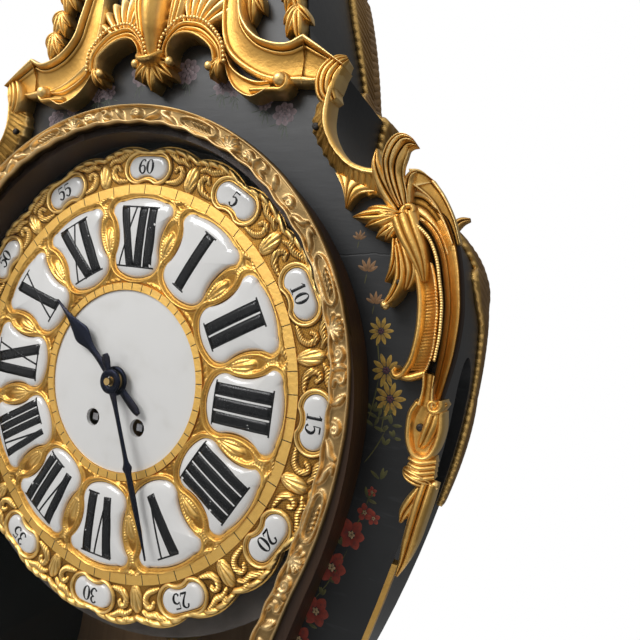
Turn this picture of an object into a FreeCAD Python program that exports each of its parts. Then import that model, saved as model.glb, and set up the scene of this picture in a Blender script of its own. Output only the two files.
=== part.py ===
"""Louis XV cartel clock on its wall bracket, as a parametric assembly in millimetres.

Frame: +Z up, the front faces -Y, the wall is the plane y = 0 and the origin is midway
between the two wall screws.  The clock is drawn lying on its back, dial up (x right,
y up the dial, z towards the viewer, dial centre at zero), and each piece is then stood
up by one placement.  The bracket is drawn where it hangs.
"""
import FreeCAD, Part
import math
import os
import Sketcher

V = FreeCAD.Vector

SIZES = (
    # where the clock stands
    ("screw_spacing", 180.0), ("screw_hole_radius", 3.0), ("screw_rise", 12.0), ("dial_rise", 290.0),
    ("dial_reach", 120.0),
    # case outline, half widths and heights from the dial centre
    ("neck_half", 62.0), ("neck_top", 240.0), ("neck_mid_half", 72.0), ("neck_mid_rise", 205.0),
    ("neck_foot_half", 79.0), ("neck_foot_rise", 172.0), ("lip_half", 97.0), ("lip_rise", 153.0),
    ("bay_half", 95.0), ("bay_rise", 132.0), ("shoulder_half", 121.0), ("shoulder_rise", 103.0),
    ("flank_top_half", 157.0), ("flank_top_rise", 62.0), ("flank_half", 158.5),
    ("flank_foot_half", 148.0), ("flank_foot_drop", 49.0), ("waist_half", 106.0), ("waist_drop", 180.0),
    ("base_half", 136.0), ("base_drop", 258.0), ("plinth_height", 10.0),
    # how far the outline's curves stand off their chords
    ("flare_hollow_in", 3.5), ("flare_hollow_down", 2.0), ("shoulder_swell_out", 7.5),
    ("shoulder_swell_up", 8.5), ("flank_swell_rise", 18.0), ("lower_swell", 3.5),
    ("base_hollow_out", 1.5), ("base_hollow_up", 4.0),
    # case boards
    ("front_setback", 2.0), ("front_board", 12.0), ("side_board", 10.0), ("back_board", 8.0),
    ("case_depth", 102.0), ("joint_gap", 0.2), ("window_bottom", -56.0), ("window_top", 35.0),
    ("window_front", 38.0), ("window_width", 40.0), ("pane_thickness", 2.5), ("pane_lap", 5.0),
    ("back_door_half", 82.0), ("back_door_bottom", -120.0), ("back_door_top", 118.0),
    ("back_door_gap", 0.6), ("seat_top", -62.0), ("seat_board", 9.0), ("pendulum_slot_half", 24.0),
    ("pendulum_slot_depth", 30.0), ("back_hinge_barrel", 2.2), ("back_hinge_pin", 1.0),
    ("back_leaf", 1.0), ("back_leaf_reach", 18.0), ("back_hinge_inset", 45.0), ("back_hinge_gap", 0.3),
    # door
    ("door_radius", 130.0), ("door_hip_half", 119.7), ("door_hip_drop", 63.7), ("door_foot_half", 84.0),
    ("door_foot_drop", 193.0), ("door_bottom_drop", 214.0), ("door_gap", 0.4), ("door_depth", 17.6),
    ("door_lap", 9.0), ("bezel_width", 12.0), ("bezel_height", 5.0), ("bezel_round", 2.2),
    ("glass_thickness", 2.5), ("glass_rebate", 5.0), ("glass_gap", 0.3), ("hip_swell", 2.6),
    ("door_foot_bow", 5.0), ("strap_reach", 16.0), ("hinge_rise", 40.0), ("hinge_drop", 34.0),
    ("hinge_forward", 13.0), ("hinge_barrel", 3.0), ("hinge_pin", 1.5),
    ("knuckle", 7.0), ("knuckle_slack", 0.15), ("running_fit", 0.06),
    # dial
    ("dial_radius", 117.5), ("dial_thickness", 4.0), ("dial_scallop", 1.6), ("minute_ring_in", 94.0),
    ("minute_ring_out", 99.0), ("hour_ring_out", 49.4), ("ring_height", 1.0),
    ("enamel_radius", 45.6), ("enamel_thickness", 2.4), ("enamel_crown", 1.2), ("enamel_ledge", 4.5),
    ("plaque_recess", 1.4), ("plaque_height", 3.2), ("plaque_round", 1.1), ("hour_plaque_in", 52.0),
    ("hour_plaque_out", 92.6), ("hour_plaque_foot", 13.6), ("hour_plaque_waist", 13.4),
    ("hour_plaque_head", 18.0), ("minute_plaque_mid", 107.6), ("minute_plaque_half", 5.9),
    ("minute_plaque_reach", 12.2), ("mask_setback", 8.0), ("mask_board", 3.0), ("mask_bottom", -126.0),
    ("mask_hole", 62.0), ("mask_bow", 24.0), ("winding_x", 14.5), ("winding_drop", 21.1),
    ("winding_hole", 4.4), ("winding_square", 3.4), ("hand_hole", 4.6), ("foot_post", 2.0),
    ("foot_pivot", 1.5), ("foot_pivot_end", 3.0), ("foot_post_circle", 52.0), ("square_setback", 1.0),
    # hands
    ("minute_hand_length", 86.0), ("hour_hand_length", 58.0), ("hour_hand_tail", 22.0),
    ("hand_thickness", 1.0), ("hour_hand_lift", 4.0), ("minute_hand_lift", 7.0), ("hand_boss", 6.3),
    ("collet_height", 2.0), ("cannon_pipe", 2.2), ("cannon_seat", 1.8), ("hour_pipe", 3.4),
    ("hand_fit", 0.02),
    # movement frame
    ("plate_half", 54.0), ("plate_top", 62.0), ("plate_thickness", 2.5), ("plate_setback", 22.0),
    ("rear_room", 3.8), ("pillar_radius", 3.5), ("pillar_pivot", 2.0), ("pillar_nut", 2.4),
    ("pillar_end", 0.5), ("pillar_low_x", 46.0), ("pillar_low_drop", 54.0), ("pillar_high_x", 28.0),
    ("pillar_high_rise", 56.0), ("arbor_radius", 1.2), ("slim_arbor", 0.9), ("pivot_radius", 0.8),
    ("barrel_radius", 19.2), ("barrel_wall", 1.2), ("barrel_arbor", 2.6), ("barrel_pivot", 1.8),
    ("end_shake", 0.2),
    # how far each wheel lies behind the front plate, or before the back plate, and its thickness
    ("great_level", 1.5), ("great_thick", 2.0), ("going_drum", 14.0), ("second_level", 25.0),
    ("centre_level", 19.5), ("third_level", 28.5), ("escape_level", 32.5), ("wheel_thick", 1.5),
    ("fine_thick", 1.2), ("pinion_margin", 0.7), ("strike_level", 1.2), ("strike_thick", 1.8),
    ("strike_drum", 12.0), ("pin_level", 15.5), ("pin_length", 2.0), ("pin_radius", 0.6),
    ("pin_circle", 13.0), ("warning_level", 10.5), ("vane_level", 3.0), ("vane_length", 9.0),
    ("vane_half", 7.5), ("vane_thick", 0.8), ("motion_level", 1.0), ("cannon_face", 2.4),
    ("motion_thick", 1.4), ("hour_level", 3.6), ("stud_end", 0.8),
    # wheel work: teeth and modules
    ("great_teeth", 72.0), ("great_module", 0.6), ("second_pinion", 10.0), ("second_teeth", 84.0),
    ("second_module", 0.5), ("centre_pinion", 12.0), ("centre_teeth", 80.0), ("centre_module", 0.42),
    ("third_pinion", 8.0), ("third_teeth", 96.0), ("third_module", 0.33), ("escape_pinion", 8.0),
    ("escape_teeth", 34.0), ("escape_radius", 13.0), ("escape_rise", 30.0), ("cannon_teeth", 12.0),
    ("cannon_module", 0.75), ("minute_wheel_teeth", 36.0), ("minute_pinion", 12.0),
    ("motion_module", 0.6), ("hour_wheel_teeth", 48.0), ("strike_teeth", 84.0), ("strike_module", 0.5),
    ("pin_pinion", 10.0), ("pin_teeth", 72.0), ("pin_module", 0.45), ("warning_pinion", 8.0),
    ("warning_teeth", 60.0), ("warning_module", 0.4), ("fly_pinion", 8.0), ("hammer_x", 46.0),
    ("hammer_drop", 8.0), ("hammer_level", 17.2), ("hammer_thick", 1.6), ("hammer_head", 2.8),
    ("hammer_head_length", 6.5), ("hammer_gap", 2.4), ("hammer_tail", 7.6), ("hammer_rise", 3.0),
    ("tail_half", 1.2),
    # pendulum and bell
    ("suspension_rise", 49.0), ("pendulum_length", 193.5), ("bob_radius", 25.0), ("bob_half", 4.5),
    ("rod_radius", 1.3), ("pendulum_setback", 75.0), ("crutch_length", 62.0), ("crutch_room", 0.8),
    ("crutch_thick", 1.6), ("crutch_half", 1.2), ("crutch_gap", 0.35), ("prong", 0.8),
    ("pallet_clear", 1.9), ("pallet_thick", 2.4), ("cock_gap", 5.0), ("cock_half", 15.0), ("cock_leg", 5.0),
    ("cock_plate", 2.0), ("cock_above", 9.0), ("cock_below", 5.0), ("spring_half", 0.2),
    ("spring_width", 6.0), ("spring_length", 16.8), ("block_half", 1.6), ("block_length", 6.0),
    ("bob_edge", 0.6), ("nut_radius", 3.4), ("nut_height", 4.0), ("rod_end", 14.0),
    ("bell_radius", 29.0), ("bell_height", 24.0), ("bell_wall", 2.0), ("bell_mouth_rise", 68.0),
    ("bell_setback", 45.0), ("bell_post", 2.0), ("bell_collar", 3.5), ("bell_nut", 3.6),
    ("bell_nut_height", 3.3), ("bell_bar_half", 4.0), ("bell_bar", 3.0),
    # gilt mounts
    ("mount_height", 9.0), ("mount_clear", 9.0), ("mount_overhang", 5.5), ("edge_strip", 2.2),
    ("edge_strip_width", 5.0), ("rear_strip_width", 12.0), ("strip_stop", 2.0), ("foot_height", 22.0),
    ("foot_depth", 34.0), ("foot_lip", 6.0), ("foot_reach", 44.0), ("foot_flare", 16.0),
    ("rear_foot", 11.0), ("rear_foot_inset", 22.0), ("rear_foot_forward", 18.0), ("cap_overhang", 10.0),
    ("cap_height", 18.0), ("dome_height", 48.0), ("cap_corner", 6.0), ("finial_height", 88.0),
    ("finial_radius", 17.0),
    # bracket
    ("shelf_margin", 36.0), ("shelf_depth", 162.0), ("shelf_board", 12.0), ("rim_width", 3.0),
    ("rim_height", 16.0), ("rim_lap", 8.0), ("body_half", 150.0), ("body_depth", 138.0),
    ("body_height", 210.0), ("tip_half", 20.0), ("tip_depth", 36.0), ("drop_height", 62.0),
    ("drop_radius", 15.0), ("hanger_thickness", 2.5), ("rib_radius", 11.0), ("rib_taper", 1.4),
    ("hanger_half", 12.0), ("hanger_reach", 46.0),
)

doc = FreeCAD.newDocument("CartelClock")
sheet = doc.addObject("Spreadsheet::Sheet", "Sizes")
for row, (alias, value) in enumerate(SIZES, start=1):
    sheet.set(f"A{row}", alias)
    sheet.set(f"B{row}", str(value))
    sheet.setAlias(f"B{row}", alias)
doc.recompute()


class SheetReader:
    """Give each driving dimension as an attribute."""

    def __getattr__(self, alias):
        return float(sheet.get(alias))


S = SheetReader()
STAND = FreeCAD.Placement(V(0, -S.dial_reach, S.dial_rise - S.screw_rise),
                          FreeCAD.Rotation(V(1, 0, 0), 90))
HANG = FreeCAD.Placement()
nodes = []


def keep(obj, name, placement):
    """Name an object as a sub-part, place it and list it for writing."""
    obj.Label = name
    obj.Placement = placement
    nodes.append(obj)
    return obj


def solid_part(name, shape, placement=STAND):
    """A sub-part whose form is worked out by code."""
    obj = doc.addObject("Part::Feature", name)
    obj.Shape = shape.removeSplitter() if len(shape.Solids) == 1 else shape
    return keep(obj, name, placement)


def group(shapes):
    """Several separate solids as one sub-part."""
    return Part.makeCompound(shapes)


def mirrored(shape):
    """The same piece for the other side of the clock."""
    return shape.mirror(V(0, 0, 0), V(1, 0, 0))


def pair(name, shape, placement=STAND):
    """A right-hand piece and its left-hand twin."""
    solid_part(name + "_right", shape, placement)
    solid_part(name + "_left", mirrored(shape), placement)


def arc(first, middle, last):
    """An arc through three points of the drawing plane."""
    return Part.Arc(V(*first), V(*middle), V(*last)).toShape()


def line(first, last):
    """A straight edge of the drawing plane."""
    return Part.makeLine(V(*first), V(*last))


def closed_by_mirror(right_edges, crossing_edges=()):
    """A wire from edges right of the centre line, their mirror images, and edges that cross the line."""
    edges = right_edges + [mirrored(edge) for edge in right_edges] + list(crossing_edges)
    return Part.Wire(Part.__sortEdges__(edges))


def slab(wire, back, front, holes=()):
    """A board of one outline between two heights above the dial face."""
    shape = Part.Face(wire).extrude(V(0, 0, front - back))
    shape.translate(V(0, 0, back))
    for hole in holes:
        cutter = Part.Face(hole).extrude(V(0, 0, front - back + 2))
        cutter.translate(V(0, 0, back - 1))
        shape = shape.cut(cutter)
    return shape


def box(left, right, bottom, top, back, front):
    """A block between three pairs of limits."""
    return Part.makeBox(right - left, top - bottom, front - back, V(left, bottom, back))


def rod(x, y, back, front, radius):
    """A round bar square to the dial."""
    return Part.makeCylinder(radius, front - back, V(x, y, back))


def case_wire():
    """Front outline: neck, lip, hollow shoulder bay, swelling flank, waist and base."""
    flank_mid = (S.flank_half, (S.flank_top_rise - S.flank_foot_drop) / 2 + S.flank_swell_rise, 0)
    lower_mid = ((S.flank_foot_half + S.waist_half) / 2 + S.lower_swell,
                 -(S.flank_foot_drop + S.waist_drop) / 2, 0)
    shoulder_mid = ((S.shoulder_half + S.flank_top_half) / 2 + S.shoulder_swell_out,
                    (S.shoulder_rise + S.flank_top_rise) / 2 + S.shoulder_swell_up, 0)
    flare_mid = ((S.neck_foot_half + S.lip_half) / 2 - S.flare_hollow_in,
                 (S.neck_foot_rise + S.lip_rise) / 2 - S.flare_hollow_down, 0)
    base_mid = (S.waist_half + S.base_hollow_out, -(S.waist_drop + S.base_drop) / 2 + S.base_hollow_up, 0)
    plinth = -S.base_drop - S.plinth_height
    return closed_by_mirror([
        line((0, S.neck_top, 0), (S.neck_half, S.neck_top, 0)),
        arc((S.neck_half, S.neck_top, 0), (S.neck_mid_half, S.neck_mid_rise, 0),
            (S.neck_foot_half, S.neck_foot_rise, 0)),
        arc((S.neck_foot_half, S.neck_foot_rise, 0), flare_mid, (S.lip_half, S.lip_rise, 0)),
        arc((S.lip_half, S.lip_rise, 0), (S.bay_half, S.bay_rise, 0), (S.shoulder_half, S.shoulder_rise, 0)),
        arc((S.shoulder_half, S.shoulder_rise, 0), shoulder_mid, (S.flank_top_half, S.flank_top_rise, 0)),
        arc((S.flank_top_half, S.flank_top_rise, 0), flank_mid, (S.flank_foot_half, -S.flank_foot_drop, 0)),
        arc((S.flank_foot_half, -S.flank_foot_drop, 0), lower_mid, (S.waist_half, -S.waist_drop, 0)),
        arc((S.waist_half, -S.waist_drop, 0), base_mid, (S.base_half, -S.base_drop, 0)),
        line((S.base_half, -S.base_drop, 0), (S.base_half, plinth, 0)),
        line((S.base_half, plinth, 0), (0, plinth, 0)),
    ])


def door_wire(inset=0.0):
    """Door outline: a round head, long converging sides and a bowed foot, drawn in by an inset."""
    hip_mid = ((S.door_radius + S.door_hip_half) / 2 + S.hip_swell, -S.door_hip_drop * 0.5, 0)
    wire = closed_by_mirror([
        arc((0, S.door_radius, 0), (S.door_radius * math.sqrt(0.5), S.door_radius * math.sqrt(0.5), 0),
            (S.door_radius, 0, 0)),
        arc((S.door_radius, 0, 0), hip_mid, (S.door_hip_half, -S.door_hip_drop, 0)),
        line((S.door_hip_half, -S.door_hip_drop, 0), (S.door_foot_half, -S.door_foot_drop, 0)),
        arc((S.door_foot_half, -S.door_foot_drop, 0),
            (S.door_foot_half * 0.55, -(S.door_bottom_drop + S.door_foot_drop) / 2 - S.door_foot_bow, 0),
            (0, -S.door_bottom_drop, 0)),
    ])
    return wire if inset == 0 else wire.makeOffset2D(-inset, join=2)


CASE = case_wire()
CASE_INSIDE = CASE.makeOffset2D(-S.side_board, join=0)
FRONT_FACE = -S.front_setback
HINGE_OUT = S.door_radius + S.hinge_barrel
FRONT_BACK = FRONT_FACE - S.front_board
CASE_BACK = FRONT_FACE - S.case_depth
PLINTH = -S.base_drop - S.plinth_height
PLATE_FRONT = -S.plate_setback
PLATE_IN = PLATE_FRONT - S.plate_thickness
BACK_PLATE_IN = PLATE_IN - S.escape_level - S.fine_thick - S.rear_room
BACK_PLATE_OUT = BACK_PLATE_IN - S.plate_thickness


def case_boards():
    """Front board with the door opening, two bent sides with sound windows, top, floor and back."""
    solid_part("case_front", slab(CASE, FRONT_BACK, FRONT_FACE, [door_wire(S.door_lap)]))
    ring = slab(CASE, CASE_BACK, FRONT_BACK, [CASE_INSIDE])
    floor_half = S.base_half - S.side_board
    top_half = S.neck_half - S.side_board
    floor = box(-floor_half, floor_half, PLINTH, PLINTH + S.side_board, CASE_BACK, FRONT_BACK)
    top = box(-top_half, top_half, S.neck_top - S.side_board, S.neck_top, CASE_BACK, FRONT_BACK)
    solid_part("case_floor_and_top", group([floor, top]))
    sides = ring.cut(group([floor, top]))
    right_side = sides.common(box(0, 2 * S.flank_half, PLINTH, S.neck_top, CASE_BACK, FRONT_BACK))
    pair("case_side", right_side.cut(sound_window(0.0)))
    pane_inside = CASE.makeOffset2D(-S.side_board - S.pane_thickness, join=0)
    pane_band = slab(CASE_INSIDE, CASE_BACK, FRONT_BACK, [pane_inside])
    pane = pane_band.common(sound_window(S.pane_lap))
    solid_part("side_window_panes", group([pane, mirrored(pane)]))


def sound_window(lap):
    """The space of the round-headed opening in the right side, widened by a lap."""
    half = S.window_width / 2
    middle = -S.window_front - half
    spring = S.window_top - half
    far = 2 * S.flank_half
    head = Part.makeCylinder(half + lap, far, V(0, spring, middle), V(1, 0, 0))
    body = box(0, far, S.window_bottom - lap, spring, middle - half - lap, middle + half + lap)
    return body.fuse(head).removeSplitter()


def back_of_case():
    """Fixed back board, its plain door and butt hinges; gives the leaves and pins it leaves over."""
    inner = CASE.makeOffset2D(-S.side_board - S.joint_gap, join=0)
    opening = Part.makePolygon([V(-S.back_door_half, S.back_door_bottom, 0),
                                V(S.back_door_half, S.back_door_bottom, 0),
                                V(S.back_door_half, S.back_door_top, 0),
                                V(-S.back_door_half, S.back_door_top, 0),
                                V(-S.back_door_half, S.back_door_bottom, 0)])
    solid_part("back_board", slab(inner, CASE_BACK, CASE_BACK + S.back_board, [opening]))
    body = doc.addObject("PartDesign::Body", "back_door")
    sketch = flat_sketch(body, "back_door_outline")
    rectangle(sketch, "-Sizes.back_door_half + Sizes.back_door_gap",
              "Sizes.back_door_half - Sizes.back_door_gap",
              "Sizes.back_door_bottom + Sizes.back_door_gap", "Sizes.back_door_top - Sizes.back_door_gap")
    pad = body.newObject("PartDesign::Pad", "back_door_pad")
    pad.Profile = sketch
    pad.setExpression("Length", "Sizes.back_board")
    keep(body, "back_door", STAND.multiply(FreeCAD.Placement(V(0, 0, CASE_BACK), FreeCAD.Rotation())))
    axis_z = CASE_BACK - S.back_hinge_barrel - S.back_hinge_gap
    fixed, moving, pins = [], [], []
    for height in (S.back_door_bottom + S.back_hinge_inset, S.back_door_top - S.back_hinge_inset):
        spans = knuckle_spans(height)
        for index, (low, high) in enumerate(spans):
            outward = -1 if index != 1 else 1
            ends = sorted((-S.back_door_half, -S.back_door_half + outward * S.back_leaf_reach))
            arm = box(*ends, low, high, CASE_BACK - S.back_leaf, CASE_BACK)
            leaf = hinge_knuckle(-S.back_door_half, axis_z, S.back_hinge_barrel, S.back_hinge_pin,
                                 low, high, arm)
            (moving if index == 1 else fixed).append(leaf)
        pins.append(upright(-S.back_door_half, axis_z, S.back_hinge_pin, spans[0][0], spans[2][1]))
    solid_part("back_hinge_door_leaves", group(moving))
    return fixed, pins


def knuckle_spans(height):
    """Three knuckles, one above the other, round a hinge's middle height."""
    half = S.knuckle / 2 - S.knuckle_slack
    return [(height + step * S.knuckle - half, height + step * S.knuckle + half) for step in (-1, 0, 1)]


def upright(x, z, radius, low, high):
    """A round bar that stands along the dial's upright."""
    return Part.makeCylinder(radius, high - low, V(x, low, z), V(0, 1, 0))


def hinge_knuckle(x, z, radius, pin, low, high, arm):
    """One barrel with its arm, bored for the pin."""
    barrel = upright(x, z, radius, low, high).fuse(arm)
    return barrel.cut(upright(x, z, pin + S.running_fit, low - 1, high + 1))


def flat_sketch(body, name):
    """A sketch on the body's own face-up plane."""
    sketch = body.newObject("Sketcher::SketchObject", name)
    plane = [item for item in body.Origin.OriginFeatures if item.Role == "XY_Plane"][0]
    sketch.AttachmentSupport = (plane, [""])
    sketch.MapMode = "FlatFace"
    return sketch


def rectangle(sketch, left, right, bottom, top):
    """A rectangle whose four sides are tied to expressions."""
    corners = [V(-1, -1, 0), V(1, -1, 0), V(1, 1, 0), V(-1, 1, 0)]
    first = sketch.GeometryCount
    for index in range(4):
        sketch.addGeometry(Part.LineSegment(corners[index], corners[(index + 1) % 4]), False)
    for index in range(4):
        sketch.addConstraint(Sketcher.Constraint("Coincident", first + index, 2, first + (index + 1) % 4, 1))
    for index, kind in enumerate(("Horizontal", "Vertical", "Horizontal", "Vertical")):
        sketch.addConstraint(Sketcher.Constraint(kind, first + index))
    ties = (("DistanceX", first, 1, left), ("DistanceX", first, 2, right),
            ("DistanceY", first, 1, bottom), ("DistanceY", first + 2, 1, top))
    for kind, edge, end, text in ties:
        number = sketch.addConstraint(Sketcher.Constraint(kind, -1, 1, edge, end, 1.0))
        sketch.setExpression(f"Constraints[{number}]", text)


def circle(sketch, x, y, radius):
    """A circle whose radius, and whose centre where it is a text, is tied to expressions."""
    index = sketch.addGeometry(Part.Circle(V(1, 1, 0), V(0, 0, 1), 1.0), False)
    number = sketch.addConstraint(Sketcher.Constraint("Radius", index, 1.0))
    sketch.setExpression(f"Constraints[{number}]", radius)
    for kind, value in (("DistanceX", x), ("DistanceY", y)):
        number = sketch.addConstraint(Sketcher.Constraint(kind, -1, 1, index, 3, 1.0))
        sketch.setExpression(f"Constraints[{number}]", value if isinstance(value, str) else repr(value))


def seat_of_movement():
    """The shelf across the case that the movement stands on, with a slot for the pendulum."""
    back = CASE_BACK + S.back_board
    board = slab(CASE_INSIDE, back, FRONT_BACK).common(
        box(-2 * S.flank_half, 2 * S.flank_half, S.seat_top - S.seat_board, S.seat_top, back, FRONT_BACK))
    middle = -S.pendulum_setback
    half = S.pendulum_slot_depth / 2
    slot = box(-S.pendulum_slot_half, S.pendulum_slot_half, S.seat_top - S.seat_board - 1, S.seat_top + 1,
               middle - half, middle + half)
    board = board.cut(slot)
    for pane in (sound_window(S.pane_lap), mirrored(sound_window(S.pane_lap))):
        board = board.cut(pane)
    solid_part("seat_board", board)


def door():
    """Door frame, gilt bezel, glass, and the hinges at the left; gives the lugs and pins it leaves over."""
    back = FRONT_FACE + S.door_gap
    front = back + S.door_depth
    seat = front - S.glass_thickness
    frame = slab(door_wire(), back, front, [door_wire(S.door_lap)])
    rebate = slab(door_wire(S.glass_rebate - S.glass_gap), seat, front + 1)
    frame = frame.cut(rebate)
    solid_part("door_frame", frame)
    solid_part("door_glass", slab(door_wire(S.glass_rebate), seat, front))
    bezel = slab(door_wire(), front, front + S.bezel_height, [door_wire(S.bezel_width)])
    crest = front + S.bezel_height
    rims = [edge for edge in bezel.Edges if abs(edge.BoundBox.ZMin - crest) < 1e-6]
    solid_part("door_bezel", bezel.makeFillet(S.bezel_round, rims))
    lugs, straps, pins = [], [], []
    for height in (S.hinge_rise, -S.hinge_drop):
        spans = knuckle_spans(height)
        half = S.hinge_barrel * 0.5
        for low, high in (spans[0], spans[2]):
            arm = box(HINGE_OUT - half, HINGE_OUT + half, low, high, FRONT_FACE, S.hinge_forward)
            lug = hinge_knuckle(HINGE_OUT, S.hinge_forward, S.hinge_barrel, S.hinge_pin, low, high, arm)
            lugs.append(mirrored(lug))
        low, high = spans[1]
        arm = box(HINGE_OUT - S.strap_reach, HINGE_OUT, low, high, S.hinge_forward - half,
                  S.hinge_forward + half)
        strap = hinge_knuckle(HINGE_OUT, S.hinge_forward, S.hinge_barrel, S.hinge_pin, low, high, arm)
        straps.append(mirrored(strap.cut(slab(door_wire(), back, front))))
        pins.append(upright(-HINGE_OUT, S.hinge_forward, S.hinge_pin, spans[0][0], spans[2][1]))
    solid_part("door_hinge_straps", group(straps))
    return lugs, pins


def hour_plaque_wire(grow=0.0):
    """Violin outline of the twelve o'clock plaque: round foot, drawn waist, eared head."""
    halves = (S.hour_plaque_foot, S.hour_plaque_waist, S.hour_plaque_head)
    foot, waist, head = [half + grow for half in halves]
    low, high = S.hour_plaque_in - grow, S.hour_plaque_out + grow
    length = high - low
    hip, ear = low + 0.25 * length, high - 0.2 * length
    toe = (foot * 0.7, low + 0.055 * length, 0)
    brow = (head - 0.14 * length, high - 0.055 * length, 0)
    return closed_by_mirror([
        arc(toe, (foot * 0.93, low + 0.13 * length, 0), (foot, hip, 0)),
        arc((foot, hip, 0), (waist, (hip + ear) / 2 - 0.03 * length, 0), (head, ear, 0)),
        arc((head, ear, 0), (head - 0.04 * length, high - 0.085 * length, 0), brow),
    ], [across(toe, low), across(brow, high)])


def across(right, middle):
    """An arc from a point to its mirror image through a height on the centre line."""
    return arc(right, (0, middle, 0), (-right[0], right[1], 0))


def minute_plaque_wire(grow=0.0):
    """Kidney outline of the plaque at sixty minutes."""
    half = S.minute_plaque_half + grow
    outer, inner = S.minute_plaque_mid + half, S.minute_plaque_mid - half
    turn = (S.minute_plaque_reach - S.minute_plaque_half) / S.minute_plaque_mid
    tip = (S.minute_plaque_reach + grow) / S.minute_plaque_mid
    upper, lower = [(radius * math.sin(turn), radius * math.cos(turn), 0) for radius in (outer, inner)]
    nose = (S.minute_plaque_mid * math.sin(tip), S.minute_plaque_mid * math.cos(tip), 0)
    return closed_by_mirror([arc(upper, nose, lower)],
                            [across(upper, outer), across(lower, inner + 0.28 * half)])


def turned_copies(shape, count):
    """Copies of a piece spread evenly round the dial."""
    copies = []
    for index in range(count):
        copy = shape.copy()
        copy.rotate(V(0, 0, 0), V(0, 0, 1), -360.0 * index / count)
        copies.append(copy)
    return copies


def annulus(inner, outer, back, front):
    """A flat ring round the dial centre."""
    return rod(0, 0, back, front, outer).cut(rod(0, 0, back - 1, front + 1, inner))


def dial():
    """Cast plate with a scalloped edge and two raised rings, enamels, and the board round it."""
    lobes = 24
    low, high = S.dial_radius - S.dial_scallop, S.dial_radius + S.dial_scallop
    edges = []
    for index in range(lobes):
        turns = [2 * math.pi * (index + part) / lobes for part in (0.0, 0.5, 1.0)]
        edges.append(arc(*[(radius * math.cos(turn), radius * math.sin(turn), 0)
                           for radius, turn in zip((low, high, low), turns)]))
    plate = slab(Part.Wire(Part.__sortEdges__(edges)), -S.dial_thickness, 0)
    plate = plate.fuse([annulus(S.minute_ring_in, S.minute_ring_out, -1, S.ring_height),
                        annulus(S.enamel_radius - 1, S.hour_ring_out, -1, S.ring_height)])
    enamel_seat = -S.enamel_thickness + S.enamel_crown
    plate = plate.cut(rod(0, 0, -2 * S.dial_thickness, S.dial_thickness, S.enamel_radius - S.enamel_ledge))
    plate = plate.cut(rod(0, 0, enamel_seat, S.dial_thickness, S.enamel_radius + S.joint_gap))
    for wire in (hour_plaque_wire(S.joint_gap), minute_plaque_wire(S.joint_gap)):
        pocket = slab(wire, -S.plaque_recess, S.dial_thickness)
        plate = plate.cut(group(turned_copies(pocket, 12)))
    posts = []
    for at in DIAL_FEET:
        posts.append(rod(*at, PLATE_FRONT, -S.dial_thickness, S.foot_post))
        posts.append(rod(*at, PLATE_IN - S.foot_pivot_end, PLATE_FRONT, S.foot_pivot))
    solid_part("dial_plate", plate.fuse(posts))
    solid_part("hour_plaques", group(turned_copies(domed_plaque(hour_plaque_wire()), 12)))
    solid_part("minute_plaques", group(turned_copies(domed_plaque(minute_plaque_wire()), 12)))
    solid_part("centre_enamel", centre_enamel(enamel_seat))
    aperture = slab(door_wire(S.door_lap + 2 * S.joint_gap), -S.mask_setback - S.mask_board, -S.mask_setback)
    bow = S.dial_radius + S.mask_bow
    sweep = rod(0, bow + S.mask_bottom, -S.mask_setback - S.mask_board, -S.mask_setback, bow)
    hole = rod(0, 0, -S.mask_setback - S.mask_board - 1, -S.mask_setback + 1, S.mask_hole)
    solid_part("dial_mask_board", aperture.common(sweep).cut(hole))


def domed_plaque(wire):
    """An enamel plaque with a rounded upper edge."""
    plaque = slab(wire, -S.plaque_recess, S.plaque_height - S.plaque_recess)
    top = S.plaque_height - S.plaque_recess
    rims = [edge for edge in plaque.Edges if abs(edge.BoundBox.ZMin - top) < 1e-6]
    return plaque.makeFillet(S.plaque_round, rims)


def centre_enamel(seat):
    """The crowned middle enamel, turned, with holes for the hands and the two winding squares."""
    rim = seat + S.enamel_thickness - S.enamel_crown
    crown = seat + S.enamel_thickness
    half = S.enamel_radius / 2
    profile = Part.Wire([line((0, 0, seat), (S.enamel_radius, 0, seat)),
                         line((S.enamel_radius, 0, seat), (S.enamel_radius, 0, rim)),
                         arc((S.enamel_radius, 0, rim), (half, 0, rim + 0.75 * S.enamel_crown),
                             (0, 0, crown)),
                         line((0, 0, crown), (0, 0, seat))])
    disc = Part.Face(profile).revolve(V(0, 0, 0), V(0, 0, 1), 360)
    holes = [rod(0, 0, seat - 1, crown + 1, S.hand_hole)]
    for side in (-1, 1):
        holes.append(rod(side * S.winding_x, -S.winding_drop, seat - 1, crown + 1, S.winding_hole))
    return disc.cut(group(holes))


def hand_blade(stations, lift):
    """A flat hand pointing up the dial, from (distance, half width) stations, between two lifts."""
    right = [V(half, along, lift) for along, half in stations]
    left = [V(-half, along, lift) for along, half in reversed(stations)]
    return Part.Face(Part.makePolygon(right + left + right[:1])).extrude(V(0, 0, S.hand_thickness))


MINUTE_ANGLE = 156.0
HOUR_ANGLE = 308.0


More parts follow.
